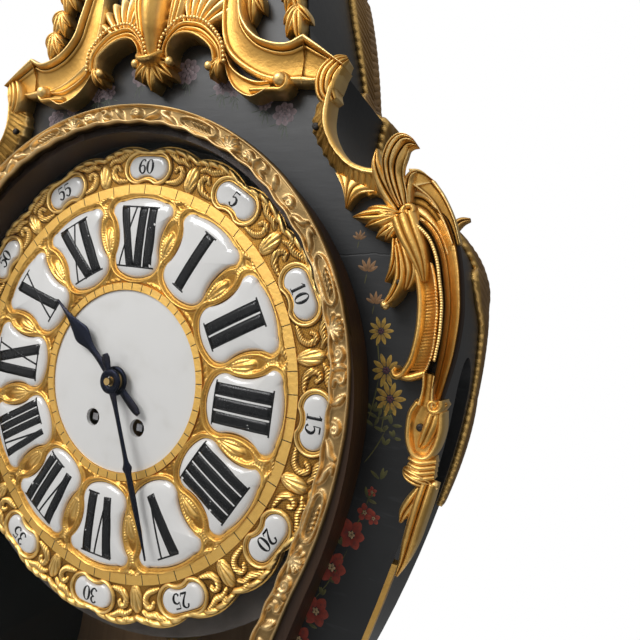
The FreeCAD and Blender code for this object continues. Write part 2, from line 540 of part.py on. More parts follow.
def hands():
    """Steel hands set at the photographed time; the minute hand has its collet riveted on."""
    long, short, tail = S.minute_hand_length, S.hour_hand_length, S.hour_hand_tail
    boss = S.hand_boss
    minute = hand_blade([(-14, 1.0), (-9, 2.2), (0, 1.6), (8, 2.2), (long * 0.46, 1.3), (long * 0.49, 4.6),
                         (long * 0.52, 1.3), (long * 0.8, 0.9), (long, 0.4)], S.minute_hand_lift)
    minute = minute.fuse(rod(0, 0, S.minute_hand_lift, S.minute_hand_lift + S.hand_thickness, boss * 0.8))
    hour = hand_blade([(-tail, 0.8), (-tail + 3, 2.0), (-tail + 6, 1.0), (-tail * 0.55, 3.6), (-boss, 1.6),
                       (boss, 2.0), (short * 0.45, 4.8), (short * 0.6, 1.6), (short * 0.75, 5.4),
                       (short * 0.9, 1.4), (short, 0.4)], S.hour_hand_lift)
    hour = hour.fuse(rod(0, 0, S.hour_hand_lift, S.hour_hand_lift + S.hand_thickness, boss))
    hour = hour.cut(rod(0, 0, 0, 2 * S.minute_hand_lift, S.hour_pipe + S.hand_fit))
    collet = rod(0, 0, S.minute_hand_lift, S.minute_hand_lift + S.hand_thickness + S.collet_height,
                 boss * 0.55)
    minute = minute.fuse(collet).cut(rod(0, 0, 0, 3 * S.minute_hand_lift, S.cannon_seat + S.hand_fit))
    minute.rotate(V(0, 0, 0), V(0, 0, 1), -MINUTE_ANGLE)
    hour.rotate(V(0, 0, 0), V(0, 0, 1), -HOUR_ANGLE)
    solid_part("minute_hand", minute)
    solid_part("hour_hand", hour)


def polar(origin, reach, degrees):
    """A point at a distance and direction from another."""
    turn = math.radians(degrees)
    return origin[0] + reach * math.cos(turn), origin[1] + reach * math.sin(turn)


def meeting(first, first_reach, second, second_reach, side):
    """The point at set distances from two points, left (1) or right (-1) of the line between them."""
    along_x, along_y = second[0] - first[0], second[1] - first[1]
    apart = math.hypot(along_x, along_y)
    foot = (first_reach ** 2 - second_reach ** 2 + apart ** 2) / (2 * apart)
    rise = math.sqrt(first_reach ** 2 - foot ** 2) * side
    unit = along_x / apart, along_y / apart
    return first[0] + foot * unit[0] - rise * unit[1], first[1] + foot * unit[1] + rise * unit[0]


def reach(module, wheel, pinion):
    """Distance between the arbors of a wheel and the pinion it drives."""
    return module * (wheel + pinion) / 2


CENTRE = (0.0, 0.0)
GOING = (S.winding_x, -S.winding_drop)
STRIKE = (-S.winding_x, -S.winding_drop)
ESCAPE = (0.0, S.escape_rise)
PALLET = (0.0, S.suspension_rise)
SECOND = meeting(GOING, reach(S.great_module, S.great_teeth, S.second_pinion),
                 CENTRE, reach(S.second_module, S.second_teeth, S.centre_pinion), -1)
THIRD = meeting(CENTRE, reach(S.centre_module, S.centre_teeth, S.third_pinion),
                ESCAPE, reach(S.third_module, S.third_teeth, S.escape_pinion), 1)
PIN = polar(STRIKE, reach(S.strike_module, S.strike_teeth, S.pin_pinion), 115)
WARNING = polar(PIN, reach(S.pin_module, S.pin_teeth, S.warning_pinion), 125)
FLY = polar(WARNING, reach(S.warning_module, S.warning_teeth, S.fly_pinion), 80)
MINUTE_STUD = polar(CENTRE, reach(S.cannon_module, S.minute_wheel_teeth, S.cannon_teeth), 90)
HAMMER = (-S.hammer_x, -S.hammer_drop)
DIAL_FEET = [polar(CENTRE, S.foot_post_circle, turn) for turn in (45, 135, 225, 315)]


def direction(first, second):
    """Direction in degrees from one arbor to another."""
    return math.degrees(math.atan2(second[1] - first[1], second[0] - first[0]))


def meshing(first, second, first_teeth, second_teeth, first_phase=0.0):
    """Phase of the second gear, in degrees, that puts its gap against a tooth of the first."""
    towards = direction(first, second)
    share = (first_phase - towards) * first_teeth / 360.0
    return towards + 180.0 + (0.5 - share) * 360.0 / second_teeth


def gear(at, teeth, module, phase, back, front, spokes=0):
    """A toothed wheel with straight-flanked teeth and, on large wheels, open crossings."""
    count = int(round(teeth))
    tip, root = module * (teeth / 2 + 0.75), module * (teeth / 2 - 1.05)
    corners = ((root, -0.2), (tip, -0.08), (tip, 0.08), (root, 0.2))
    points = []
    for index in range(count):
        for radius, share in corners:
            turn = math.radians(phase) + 2 * math.pi * (index + share) / count
            points.append(V(radius * math.cos(turn), radius * math.sin(turn), 0))
    face = Part.Face(Part.makePolygon(points + points[:1]))
    for index in range(spokes):
        span = 2 * math.pi / spokes
        face = face.cut(crossing(0.27 * root, 0.84 * root, index * span, span))
    shape = face.extrude(V(0, 0, front - back))
    shape.translate(V(at[0], at[1], back))
    return shape


def crossing(inner, outer, start, span):
    """One window between two spokes of a wheel."""
    spoke = 0.07 * outer
    inner_gap, outer_gap = math.asin(spoke / inner), math.asin(spoke / outer)

    def at(radius, turn):
        return radius * math.cos(turn), radius * math.sin(turn), 0

    middle, end = start + span / 2, start + span
    edges = [arc(at(outer, start + outer_gap), at(outer, middle), at(outer, end - outer_gap)),
             line(at(outer, end - outer_gap), at(inner, end - inner_gap)),
             arc(at(inner, end - inner_gap), at(inner, middle), at(inner, start + inner_gap)),
             line(at(inner, start + inner_gap), at(outer, start + outer_gap))]
    return Part.Face(Part.Wire(edges))


def ratchet(at, tip, root, teeth, back, front, lean=0.75):
    """A wheel of pointed teeth that lean one way."""
    count = int(round(teeth))
    points = []
    for index in range(count):
        for radius, share in ((root, 0.0), (tip, lean)):
            turn = 2 * math.pi * (index + share) / count
            points.append(V(radius * math.cos(turn), radius * math.sin(turn), 0))
    shape = Part.Face(Part.makePolygon(points + points[:1])).extrude(V(0, 0, front - back))
    shape.translate(V(at[0], at[1], back))
    return shape


def arbor(at, wheels, radius=None, front=None):
    """An arbor with shoulders and pivots between the plates, carrying its wheels."""
    pivots = rod(*at, BACK_PLATE_OUT, PLATE_FRONT if front is None else front, S.pivot_radius)
    shaft = rod(*at, BACK_PLATE_IN + S.end_shake, PLATE_IN - S.end_shake, radius or S.arbor_radius)
    return shaft.fuse([pivots] + wheels)


def behind(level, thick):
    """Back and front of a wheel that lies a distance behind the front plate."""
    return PLATE_IN - level - thick, PLATE_IN - level


def widened(span):
    """Back and front of the pinion that meets a wheel, a margin longer at each end."""
    return span[0] - S.pinion_margin, span[1] + S.pinion_margin


GREAT_SPAN = behind(S.great_level, S.great_thick)
SECOND_SPAN = behind(S.second_level, S.wheel_thick)
CENTRE_SPAN = behind(S.centre_level, S.wheel_thick)
THIRD_SPAN = behind(S.third_level, S.fine_thick)
ESCAPE_SPAN = behind(S.escape_level, S.fine_thick)
STRIKE_SPAN = (BACK_PLATE_IN + S.strike_level, BACK_PLATE_IN + S.strike_level + S.strike_thick)
PIN_SPAN = behind(S.pin_level, S.wheel_thick)
WARNING_SPAN = behind(S.warning_level, S.fine_thick)


def going_train():
    """Spring barrel, second, centre, third and escape wheels."""
    drum_span = (GREAT_SPAN[0] - S.going_drum, GREAT_SPAN[0])
    solid_part("going_barrel", barrel(GOING, S.great_teeth, S.great_module, GREAT_SPAN, drum_span))
    second_phase = meshing(GOING, SECOND, S.great_teeth, S.second_pinion)
    second = [gear(SECOND, S.second_pinion, S.great_module, second_phase, *widened(GREAT_SPAN)),
              gear(SECOND, S.second_teeth, S.second_module, 0, *SECOND_SPAN, 5)]
    solid_part("second_wheel", arbor(SECOND, second))
    centre_phase = meshing(SECOND, CENTRE, S.second_teeth, S.centre_pinion)
    centre = [gear(CENTRE, S.centre_pinion, S.second_module, centre_phase, *widened(SECOND_SPAN)),
              gear(CENTRE, S.centre_teeth, S.centre_module, 0, *CENTRE_SPAN, 5),
              rod(*CENTRE, PLATE_IN - S.end_shake, S.minute_hand_lift, S.arbor_radius)]
    solid_part("centre_wheel", arbor(CENTRE, centre, front=PLATE_IN))
    third_phase = meshing(CENTRE, THIRD, S.centre_teeth, S.third_pinion)
    third = [gear(THIRD, S.third_pinion, S.centre_module, third_phase, *widened(CENTRE_SPAN)),
             gear(THIRD, S.third_teeth, S.third_module, 0, *THIRD_SPAN, 5)]
    solid_part("third_wheel", arbor(THIRD, third))
    escape_phase = meshing(THIRD, ESCAPE, S.third_teeth, S.escape_pinion)
    escape = [gear(ESCAPE, S.escape_pinion, S.third_module, escape_phase, *widened(THIRD_SPAN)),
              ratchet(ESCAPE, S.escape_radius, S.escape_radius * 0.82, S.escape_teeth, *ESCAPE_SPAN)]
    solid_part("escape_wheel", arbor(ESCAPE, escape, S.slim_arbor))


def barrel(at, teeth, module, wheel_span, drum_span):
    """A spring drum, hollow, with its toothed great wheel, bored to turn on its arbor."""
    drum = rod(*at, *drum_span, S.barrel_radius)
    hollow = rod(*at, drum_span[0] + S.barrel_wall, drum_span[1] - S.barrel_wall,
                 S.barrel_radius - S.barrel_wall)
    whole = drum.cut(hollow).fuse(gear(at, teeth, module, 0, *wheel_span))
    return whole.cut(rod(*at, BACK_PLATE_OUT, PLATE_FRONT, S.barrel_arbor + S.running_fit))


def winding_arbor(at):
    """A barrel arbor with its winding square reaching into the dial."""
    square = S.winding_square / 2
    shoulder = PLATE_FRONT + S.pillar_end
    body = rod(*at, BACK_PLATE_IN + S.end_shake, PLATE_IN - S.end_shake, S.barrel_arbor)
    pivot = rod(*at, BACK_PLATE_OUT, shoulder, S.barrel_pivot)
    key_square = box(at[0] - square, at[0] + square, at[1] - square, at[1] + square,
                     shoulder, -S.square_setback)
    return body.fuse([pivot, key_square])


def winding_work():
    """The two barrel arbors that a key winds through the dial."""
    for name, at in (("going", GOING), ("strike", STRIKE)):
        solid_part(f"{name}_winding_arbor", winding_arbor(at))


MOTION_LEVEL = PLATE_FRONT + S.motion_level
MINUTE_WHEEL_LEVEL = MOTION_LEVEL + (S.cannon_face - S.motion_thick) / 2
HOUR_SPAN = (MOTION_LEVEL + S.hour_level, MOTION_LEVEL + S.hour_level + S.motion_thick)
LEAVES_TOP = HOUR_SPAN[1] + S.pinion_margin


def motion_work():
    """Cannon pinion, minute wheel and hour wheel that drive the two hands."""
    pipe_top = S.minute_hand_lift - S.end_shake
    rivet_top = S.minute_hand_lift + S.hand_thickness + S.collet_height - S.end_shake
    cannon = gear(CENTRE, S.cannon_teeth, S.cannon_module, 0, MOTION_LEVEL, MOTION_LEVEL + S.cannon_face)
    cannon = cannon.fuse([rod(*CENTRE, MOTION_LEVEL, pipe_top, S.cannon_pipe),
                          rod(*CENTRE, MOTION_LEVEL, rivet_top, S.cannon_seat)])
    bore = rod(*CENTRE, MOTION_LEVEL - 1, S.minute_hand_lift + S.hand_fit, S.arbor_radius + S.hand_fit)
    solid_part("cannon_pinion", cannon.cut(bore))
    wheel_phase = meshing(CENTRE, MINUTE_STUD, S.cannon_teeth, S.minute_wheel_teeth)
    wheel_top = MINUTE_WHEEL_LEVEL + S.motion_thick
    wheel = gear(MINUTE_STUD, S.minute_wheel_teeth, S.cannon_module, wheel_phase,
                 MINUTE_WHEEL_LEVEL, wheel_top, 4)
    leaves = gear(MINUTE_STUD, S.minute_pinion, S.motion_module, 0, wheel_top, LEAVES_TOP)
    bore = rod(*MINUTE_STUD, MOTION_LEVEL - 1, LEAVES_TOP + 1, S.arbor_radius + S.running_fit)
    solid_part("minute_wheel", wheel.fuse(leaves).cut(bore))
    hour_phase = meshing(MINUTE_STUD, CENTRE, S.minute_pinion, S.hour_wheel_teeth)
    hour = gear(CENTRE, S.hour_wheel_teeth, S.motion_module, hour_phase, *HOUR_SPAN, 4)
    pipe = rod(*CENTRE, HOUR_SPAN[0], S.hour_hand_lift + S.hand_thickness + S.end_shake, S.hour_pipe)
    bore = rod(*CENTRE, MOTION_LEVEL, S.minute_hand_lift, S.cannon_pipe + S.running_fit)
    solid_part("hour_wheel", hour.fuse(pipe).cut(bore))


def strike_train():
    """Strike barrel, pin wheel, warning wheel, fly and hammer."""
    drum_span = (STRIKE_SPAN[1], STRIKE_SPAN[1] + S.strike_drum)
    solid_part("strike_barrel", barrel(STRIKE, S.strike_teeth, S.strike_module, STRIKE_SPAN, drum_span))
    pin_phase = meshing(STRIKE, PIN, S.strike_teeth, S.pin_pinion)
    pins = [rod(*polar(PIN, S.pin_circle, 45 * index), PIN_SPAN[0] - S.pin_length, PIN_SPAN[1], S.pin_radius)
            for index in range(8)]
    pin_parts = [gear(PIN, S.pin_pinion, S.strike_module, pin_phase, *widened(STRIKE_SPAN)),
                 gear(PIN, S.pin_teeth, S.pin_module, 0, *PIN_SPAN)]
    solid_part("pin_wheel", arbor(PIN, pin_parts + pins))
    warning_phase = meshing(PIN, WARNING, S.pin_teeth, S.warning_pinion)
    warning = [gear(WARNING, S.warning_pinion, S.pin_module, warning_phase, *widened(PIN_SPAN)),
               gear(WARNING, S.warning_teeth, S.warning_module, 0, *WARNING_SPAN, 4)]
    solid_part("warning_wheel", arbor(WARNING, warning))
    fly_phase = meshing(WARNING, FLY, S.warning_teeth, S.fly_pinion)
    vane_back = BACK_PLATE_IN + S.vane_level
    vane = Part.makeBox(2 * S.vane_half, S.vane_thick, S.vane_length,
                        V(FLY[0] - S.vane_half, FLY[1] - S.vane_thick / 2, vane_back))
    fly = [gear(FLY, S.fly_pinion, S.warning_module, fly_phase, *widened(WARNING_SPAN)), vane]
    solid_part("fly", arbor(FLY, fly, S.slim_arbor))
    hammer()


def hammer():
    """Hammer arbor with its lifting tail, long shank and round head beside the bell."""
    back, front = behind(S.hammer_level, S.hammer_thick)
    head_rise = S.bell_mouth_rise + S.hammer_rise
    face = -S.bell_radius - S.hammer_gap
    middle = face - S.hammer_head_length / 2
    root, tip = S.tail_half + 0.3, S.tail_half
    corners = [V(HAMMER[0] - root, HAMMER[1], back), V(HAMMER[0] + root, HAMMER[1], back),
               V(middle + tip, head_rise, back), V(middle - tip, head_rise, back)]
    shank = Part.Face(Part.makePolygon(corners + corners[:1])).extrude(V(0, 0, front - back))
    head = Part.makeCylinder(S.hammer_head, S.hammer_head_length,
                             V(face - S.hammer_head_length, head_rise, (back + front) / 2), V(1, 0, 0))
    towards = direction(HAMMER, PIN)
    tail = box(0, S.hammer_tail, -S.tail_half, S.tail_half, back, front)
    tail.rotate(V(0, 0, 0), V(0, 0, 1), towards)
    tail.translate(V(*HAMMER, 0))
    nose = rod(*polar(HAMMER, S.hammer_tail, towards), back, front, S.tail_half)
    solid_part("hammer", arbor(HAMMER, [shank, head, tail, nose]))


def movement_frame():
    """Two pierced plates, four pillars with nuts, the rear cock, and the bell on its stand."""
    pivots = [SECOND, THIRD, ESCAPE, PIN, WARNING, FLY, HAMMER]
    front_holes = [(at, "Sizes.pivot_radius + Sizes.running_fit") for at in pivots + [PALLET]]
    front_holes += [(CENTRE, "Sizes.arbor_radius + Sizes.running_fit")]
    front_holes += [(at, "Sizes.barrel_pivot + Sizes.running_fit") for at in (GOING, STRIKE)]
    front_holes += [(at, "Sizes.foot_pivot + Sizes.running_fit") for at in DIAL_FEET]
    rear_holes = [(at, "Sizes.pivot_radius + Sizes.running_fit") for at in pivots + [CENTRE]]
    rear_holes += [(at, "Sizes.barrel_pivot + Sizes.running_fit") for at in (GOING, STRIKE)]
    rear_holes += [(PALLET, "Sizes.arbor_radius + Sizes.block_half")]
    pierced_plate("front_plate", front_holes, PLATE_IN, stud=MINUTE_STUD)
    pierced_plate("back_plate", rear_holes, BACK_PLATE_OUT)
    corners = [(side * S.pillar_low_x, -S.pillar_low_drop) for side in (-1, 1)]
    corners += [(side * S.pillar_high_x, S.pillar_high_rise) for side in (-1, 1)]
    pillars = []
    for at in corners:
        nut_back = BACK_PLATE_OUT - S.pillar_nut
        belly = rod(*at, BACK_PLATE_IN, PLATE_IN, S.pillar_radius)
        nut = rod(*at, nut_back, BACK_PLATE_OUT, S.pillar_radius)
        pivot = rod(*at, nut_back - S.pillar_end, PLATE_FRONT + S.pillar_end, S.pillar_pivot)
        bore = rod(*at, nut_back - 1, BACK_PLATE_OUT + 1, S.pillar_pivot + S.hand_fit)
        pillars += [belly.fuse(pivot), nut.cut(bore)]
    solid_part("pillars_and_nuts", group(pillars))
    bell_and_stand()


def pierced_plate(name, holes, back, stud=None):
    """One movement plate, padded from a rectangle, drilled for pivots and pillars, with a stud if asked."""
    body = doc.addObject("PartDesign::Body", name)
    outline = flat_sketch(body, name + "_outline")
    rectangle(outline, "-Sizes.plate_half", "Sizes.plate_half", "Sizes.seat_top", "Sizes.plate_top")
    pad = body.newObject("PartDesign::Pad", name + "_pad")
    pad.Profile = outline
    pad.setExpression("Length", "Sizes.plate_thickness")
    drilled = flat_sketch(body, name + "_holes")
    for at, radius in holes:
        circle(drilled, at[0], at[1], radius)
    for side in (-1, 1):
        bore = "Sizes.pillar_pivot + Sizes.hand_fit"
        circle(drilled, f"{side} * Sizes.pillar_low_x", "-Sizes.pillar_low_drop", bore)
        circle(drilled, f"{side} * Sizes.pillar_high_x", "Sizes.pillar_high_rise", bore)
    pocket = body.newObject("PartDesign::Pocket", name + "_drilling")
    pocket.Profile = drilled
    pocket.Type = 1
    pocket.Reversed = True
    if stud:
        post = flat_sketch(body, name + "_stud")
        circle(post, stud[0], stud[1], "Sizes.arbor_radius")
        stud_pad = body.newObject("PartDesign::Pad", name + "_stud_pad")
        stud_pad.Profile = post
        stud_pad.setExpression("Length", f"Sizes.stud_end + {LEAVES_TOP - PLATE_IN}")
    keep(body, name, STAND.multiply(FreeCAD.Placement(V(0, 0, back), FreeCAD.Rotation())))


def bell_and_stand():
    """A cup bell, mouth down, on a post from a bar that lies across the plates."""
    mouth, crown = S.bell_mouth_rise, S.bell_mouth_rise + S.bell_height
    half = S.bell_radius

    def cup(radius, low, high):
        flank = (radius * 0.84, low + (high - low) * 0.62, 0)
        profile = Part.Wire([line((0, low, 0), (radius, low, 0)), arc((radius, low, 0), flank, (0, high, 0)),
                             line((0, high, 0), (0, low, 0))])
        return Part.Face(profile).revolve(V(0, 0, 0), V(0, 1, 0), 360)

    bell = cup(half, mouth, crown).cut(cup(half - S.bell_wall, mouth, crown - S.bell_wall))
    bell = bell.cut(upright(0, 0, S.bell_post + S.hand_fit, mouth, crown + 1))
    bell.translate(V(0, 0, -S.bell_setback))
    solid_part("bell", bell)
    seat = crown - S.bell_wall
    bar_top = S.plate_top + S.bell_bar
    bar = box(-S.bell_bar_half, S.bell_bar_half, S.plate_top, bar_top, BACK_PLATE_OUT, PLATE_FRONT)
    nut_low = bell.BoundBox.YMax + S.hand_fit
    nut_high = nut_low + S.bell_nut_height
    stand = bar.fuse([upright(0, -S.bell_setback, S.bell_post, S.plate_top, nut_high + S.pillar_end),
                      upright(0, -S.bell_setback, S.bell_collar, S.plate_top, seat)])
    nut = upright(0, -S.bell_setback, S.bell_nut, nut_low, nut_high)
    nut = nut.cut(upright(0, -S.bell_setback, S.bell_post + S.hand_fit, nut_low - 1, nut_high + 1))
    solid_part("bell_stand_and_nut", group([stand.cut(bell), nut]))


def escapement_and_pendulum():
    """Anchor with its crutch, rear cock, suspension, pendulum rod, bob and rating nut."""
    clear = S.escape_radius + S.pallet_clear
    outside = clear + S.pallet_thick
    tips = [(*polar(ESCAPE, clear, turn), 0) for turn in (48, 90, 132)]
    left, right = [(*polar(ESCAPE, outside, turn), 0) for turn in (134, 46)]
    crown = (PALLET[0], PALLET[1] + S.pallet_thick, 0)
    anchor = Part.Wire([arc(*tips), line(tips[2], left), arc(left, crown, right), line(right, tips[0])])
    cock_back = BACK_PLATE_OUT - S.cock_gap
    crutch_span = (cock_back - S.crutch_thick - S.crutch_room, cock_back - S.crutch_room)
    foot = PALLET[1] - S.crutch_length
    rod_z = -S.pendulum_setback
    prong_out = S.rod_radius + S.crutch_gap + S.prong
    fork_half = prong_out + S.prong
    crutch = [box(-S.crutch_half, S.crutch_half, foot, PALLET[1], *crutch_span),
              box(-fork_half, fork_half, foot - 2 * S.prong, foot, *crutch_span)]
    crutch += [rod(side * prong_out, foot - S.prong, rod_z - 2 * S.rod_radius, crutch_span[1], S.prong)
               for side in (-1, 1)]
    shaft = rod(*PALLET, BACK_PLATE_OUT - S.plate_thickness, PLATE_IN - S.end_shake, S.arbor_radius)
    pivots = rod(*PALLET, crutch_span[0], PLATE_FRONT, S.pivot_radius)
    solid_part("pallets_and_crutch", shaft.fuse([pivots, slab(anchor, *ESCAPE_SPAN)] + crutch))
    low, high = PALLET[1] - S.cock_below, PALLET[1] + S.cock_above
    cock = box(-S.cock_half, S.cock_half, low, high, cock_back, cock_back + S.cock_plate)
    legs = [box(-S.cock_half, S.cock_leg - S.cock_half, low, high, cock_back, BACK_PLATE_OUT),
            box(S.cock_half - S.cock_leg, S.cock_half, low, high, cock_back, BACK_PLATE_OUT)]
    spring_top = high - S.spring_width / 2 - S.spring_half
    spring_foot = spring_top - S.spring_length
    wide = S.spring_width / 2
    stud = box(-wide, wide, spring_top + S.spring_half, high, rod_z - wide - 1, cock_back + 1)
    bore = rod(*PALLET, cock_back - 1, BACK_PLATE_OUT + 1, S.pivot_radius + S.running_fit)
    solid_part("pendulum_cock", cock.fuse(legs + [stud]).cut(bore))
    spring = box(-S.spring_half, S.spring_half, spring_foot, spring_top, rod_z - wide, rod_z + wide)
    bob_rise = PALLET[1] - S.pendulum_length
    block = box(-S.block_half, S.block_half, spring_foot - S.block_length, spring_foot,
                rod_z - wide, rod_z + wide)
    stem = upright(0, rod_z, S.rod_radius, bob_rise - S.bob_radius - S.rod_end, spring_foot - S.block_half)
    solid_part("pendulum_rod_and_spring", group([block.fuse(stem), spring]))
    bulge = (S.bob_radius * 0.6, 0, S.bob_half * 0.7)
    rim, pole = (S.bob_radius, 0, S.bob_edge), (0, 0, S.bob_half)
    lens = Part.Wire([line((0, 0, 0), (S.bob_radius, 0, 0)), line((S.bob_radius, 0, 0), rim),
                      arc(rim, bulge, pole), line(pole, (0, 0, 0))])
    half_bob = Part.Face(lens).revolve(V(0, 0, 0), V(0, 0, 1), 360)
    bob = half_bob.fuse(half_bob.mirror(V(0, 0, 0), V(0, 0, 1))).removeSplitter()
    bob.translate(V(0, bob_rise, rod_z))
    bore = upright(0, rod_z, S.rod_radius + S.hand_fit, bob_rise - 2 * S.bob_radius,
                   bob_rise + 2 * S.bob_radius)
    solid_part("pendulum_bob", bob.cut(bore))
    nut_top = bob_rise - S.bob_radius - S.glass_gap
    nut = upright(0, rod_z, S.nut_radius, nut_top - S.nut_height, nut_top)
    bore = upright(0, rod_z, S.rod_radius + S.running_fit, nut_top - S.nut_height - 1, nut_top + 1)
    solid_part("rating_nut", nut.cut(bore))


def relief(spine, back=None):
    """A cast ornament with a flat back and a crowned face, lofted along (x, y, width, height) stations."""
    base = FRONT_FACE if back is None else back
    sections = []
    for index, (x, y, width, height) in enumerate(spine):
        before, after = spine[max(index - 1, 0)], spine[min(index + 1, len(spine) - 1)]
        along_x, along_y = after[0] - before[0], after[1] - before[1]
        length = math.hypot(along_x, along_y)
        across = V(-along_y / length, along_x / length, 0)
        middle = V(x, y, base)
        left, right = middle - across * (width / 2), middle + across * (width / 2)
        crown = middle + V(0, 0, height)
        sections.append(Part.Wire([Part.makeLine(left, right), Part.Arc(right, crown, left).toShape()]))
    return Part.makeLoft(sections, True, False)


def corner_mounts():
    """Cast corner mounts: plume, side leaf, long hollow scroll, knot and hanging leaves."""
    inner = HINGE_OUT + S.hinge_barrel + S.mount_clear
    outer = S.flank_half + S.mount_overhang
    mid, wide = (inner + outer) / 2, outer - inner
    top, tall = S.flank_top_rise, S.mount_height
    plume = relief([(mid - 15, top + 20, 16, tall), (mid - 24, top + 34, 17, tall + 1),
                    (mid - 27, top + 48, 14, tall), (mid - 23, top + 58, 8, tall - 2),
                    (mid - 17, top + 59, 3, tall - 5)])
    side_leaf = relief([(mid - 14, top + 22, 12, tall - 2), (mid - 26, top + 25, 11, tall - 2),
                        (mid - 35, top + 27, 8, tall - 4), (mid - 41, top + 25, 3, 3)])
    scroll = relief([(mid - 18, top + 32, 10, tall - 1), (mid - 8, top + 22, 0.9 * wide, tall),
                     (mid - 2, top, wide, tall + 1), (mid, top - 24, wide, tall),
                     (mid - 2, top - 42, 0.8 * wide, tall - 1), (mid - 3, top - 58, 0.7 * wide, tall - 2),
                     (mid - 2, top - 70, 0.6 * wide, tall - 2), (mid - 2.5, top - 84, 0.5 * wide, tall - 3),
                     (mid - 3, top - 96, 0.4 * wide, tall - 4), (mid - 2, top - 105, 0.15 * wide, 3)])
    drop = relief([(mid - 12, top + 16, 10, tall - 1), (mid - 15, top + 4, 9, tall - 2),
                   (inner - 11.5, top - 8, 3, 3)])
    curl = relief([(mid - 4, top - 30, 6, tall - 2), (mid - 10, top - 36, 5, tall - 3),
                   (inner - 4, top - 31, 3, 3)])
    return scroll.fuse([plume, side_leaf, drop, curl])


def shoulder_scrolls():
    """Open C-scrolls that line the hollow of the shoulder."""
    tall = S.mount_height - 1
    bay, lip = S.bay_half, S.lip_rise
    return relief([(bay + 4, lip + 2, 6, tall - 3), (bay - 3, lip - 5, 10, tall - 1),
                   (bay - 5, lip - 17, 10, tall), (bay - 2, lip - 30, 10, tall),
                   (bay + 5, lip - 42, 10, tall), (bay + 15, lip - 52, 9, tall - 1),
                   (bay + 27, lip - 50, 5, tall - 3)])


def crest_mount():
    """The cartouche over the door with its two moulded arms and rising leaves."""
    low, wide = S.door_radius + 13, S.lip_half
    tall = S.mount_height + 2
    middle = relief([(0, low, 6, tall - 4), (0, low + 8, 26, tall), (0, low + 22, 34, tall + 4),
                     (0, low + 38, 30, tall + 2), (0, low + 54, 40, tall), (0, low + 66, 16, tall - 4)])
    arm = relief([(8, low + 28, 16, tall), (26, low + 27, 12, tall), (42, low + 19, 12, tall),
                  (56, low + 8, 14, tall), (72, low + 2, 14, tall), (86, low + 8, 12, tall - 2),
                  (wide + 2, low + 6, 7, tall - 5)])
    curl = relief([(60, low + 4, 10, tall - 1), (66, low - 6, 9, tall - 3), (76, low - 9, 6, tall - 5)])
    plume = relief([(38, low + 22, 14, tall), (52, low + 30, 18, tall), (64, low + 38, 14, tall - 2),
                    (70, low + 46, 4, 4)])
    half = arm.fuse([curl, plume])
    return middle.fuse([half, mirrored(half)])


def apron_mount():
    """The leaf and shell under the door."""
    low = PLINTH + 4
    fan = relief([(0, low, 8, 4), (0, low + 10, 46, 9), (0, low + 24, 58, 8), (0, low + 38, 22, 4)])
    leaf = relief([(14, low + 12, 12, 8), (40, low + 8, 11, 7), (66, low + 14, 9, 6), (88, low + 10, 3, 3)])
    return fan.fuse([leaf, mirrored(leaf)])


def edge_strip(back, front, low, high):
    """A thin gilt strip bent round the case's edge between two heights, right side."""
    outer = CASE.makeOffset2D(S.edge_strip, join=0)
    band = slab(outer, back, front, [CASE])
    return band.common(box(0, 2 * S.flank_half, low, high, back, front))


def gilt_mounts():
    """All the cast and chased gilt pieces fixed to the case."""
    corner = corner_mounts()
    solid_part("corner_mounts", group([corner, mirrored(corner)]))
    scroll = shoulder_scrolls().cut(corner)
    solid_part("shoulder_scrolls", group([scroll, mirrored(scroll)]))
    crest = crest_mount().cut(group([scroll, mirrored(scroll)]))
    solid_part("crest_and_apron_mounts", group([crest, apron_mount()]))
    front_strip = edge_strip(FRONT_FACE - S.edge_strip_width, FRONT_FACE, -S.base_drop, -S.flank_foot_drop)
    rear_strip = edge_strip(CASE_BACK, CASE_BACK + S.rear_strip_width, -S.flank_foot_drop,
                            S.neck_top - S.strip_stop)
    solid_part("edge_strips", group([front_strip, mirrored(front_strip), rear_strip, mirrored(rear_strip)]))
    foot = scroll_foot()
    solid_part("feet", group([foot, mirrored(foot)] + rear_feet()))


def scroll_foot():
    """A cast front foot that curls outwards and stands on a flat toe."""
    top, low, tall = PLINTH, PLINTH - S.foot_height, S.foot_height
    half = S.base_half
    toe, curl = (half + 0.85 * S.foot_flare, low, 0), (half + S.foot_flare, low + tall * 0.3, 0)
    heel, instep = (half - 0.3 * S.foot_flare, low, 0), (half - 0.5 * S.foot_flare, low + tall * 0.36, 0)
    root = (half - S.foot_reach, top, 0)
    outline = Part.Wire([line(root, (half, top, 0)),
                         arc((half, top, 0), (half + 0.45 * S.foot_flare, top - tall * 0.35, 0), curl),
                         arc(curl, (half + 1.03 * S.foot_flare, low + tall * 0.12, 0), toe),
                         line(toe, heel), line(heel, instep),
                         arc(instep, (half - 0.55 * S.foot_reach, top - tall * 0.32, 0), root)])
    return slab(outline, FRONT_FACE - S.foot_depth, FRONT_FACE + S.foot_lip)


def rear_feet():
    """Two plain turned blocks under the back of the case."""
    return [upright(side * (S.base_half - S.rear_foot_inset), CASE_BACK + S.rear_foot_forward, S.rear_foot,
                    PLINTH - S.foot_height, PLINTH) for side in (-1, 1)]


def rounded_plan(half, back, front, height, corner):
    """A rounded rectangle at one height, seen from above."""
    bend = corner * (1 - math.sqrt(0.5))
    inner = half - corner
    right = [line((0, height, back), (inner, height, back)),
             arc((inner, height, back), (half - bend, height, back + bend), (half, height, back + corner)),
             line((half, height, back + corner), (half, height, front - corner)),
             arc((half, height, front - corner), (half - bend, height, front - bend), (inner, height, front)),
             line((inner, height, front), (0, height, front))]
    return closed_by_mirror(right)


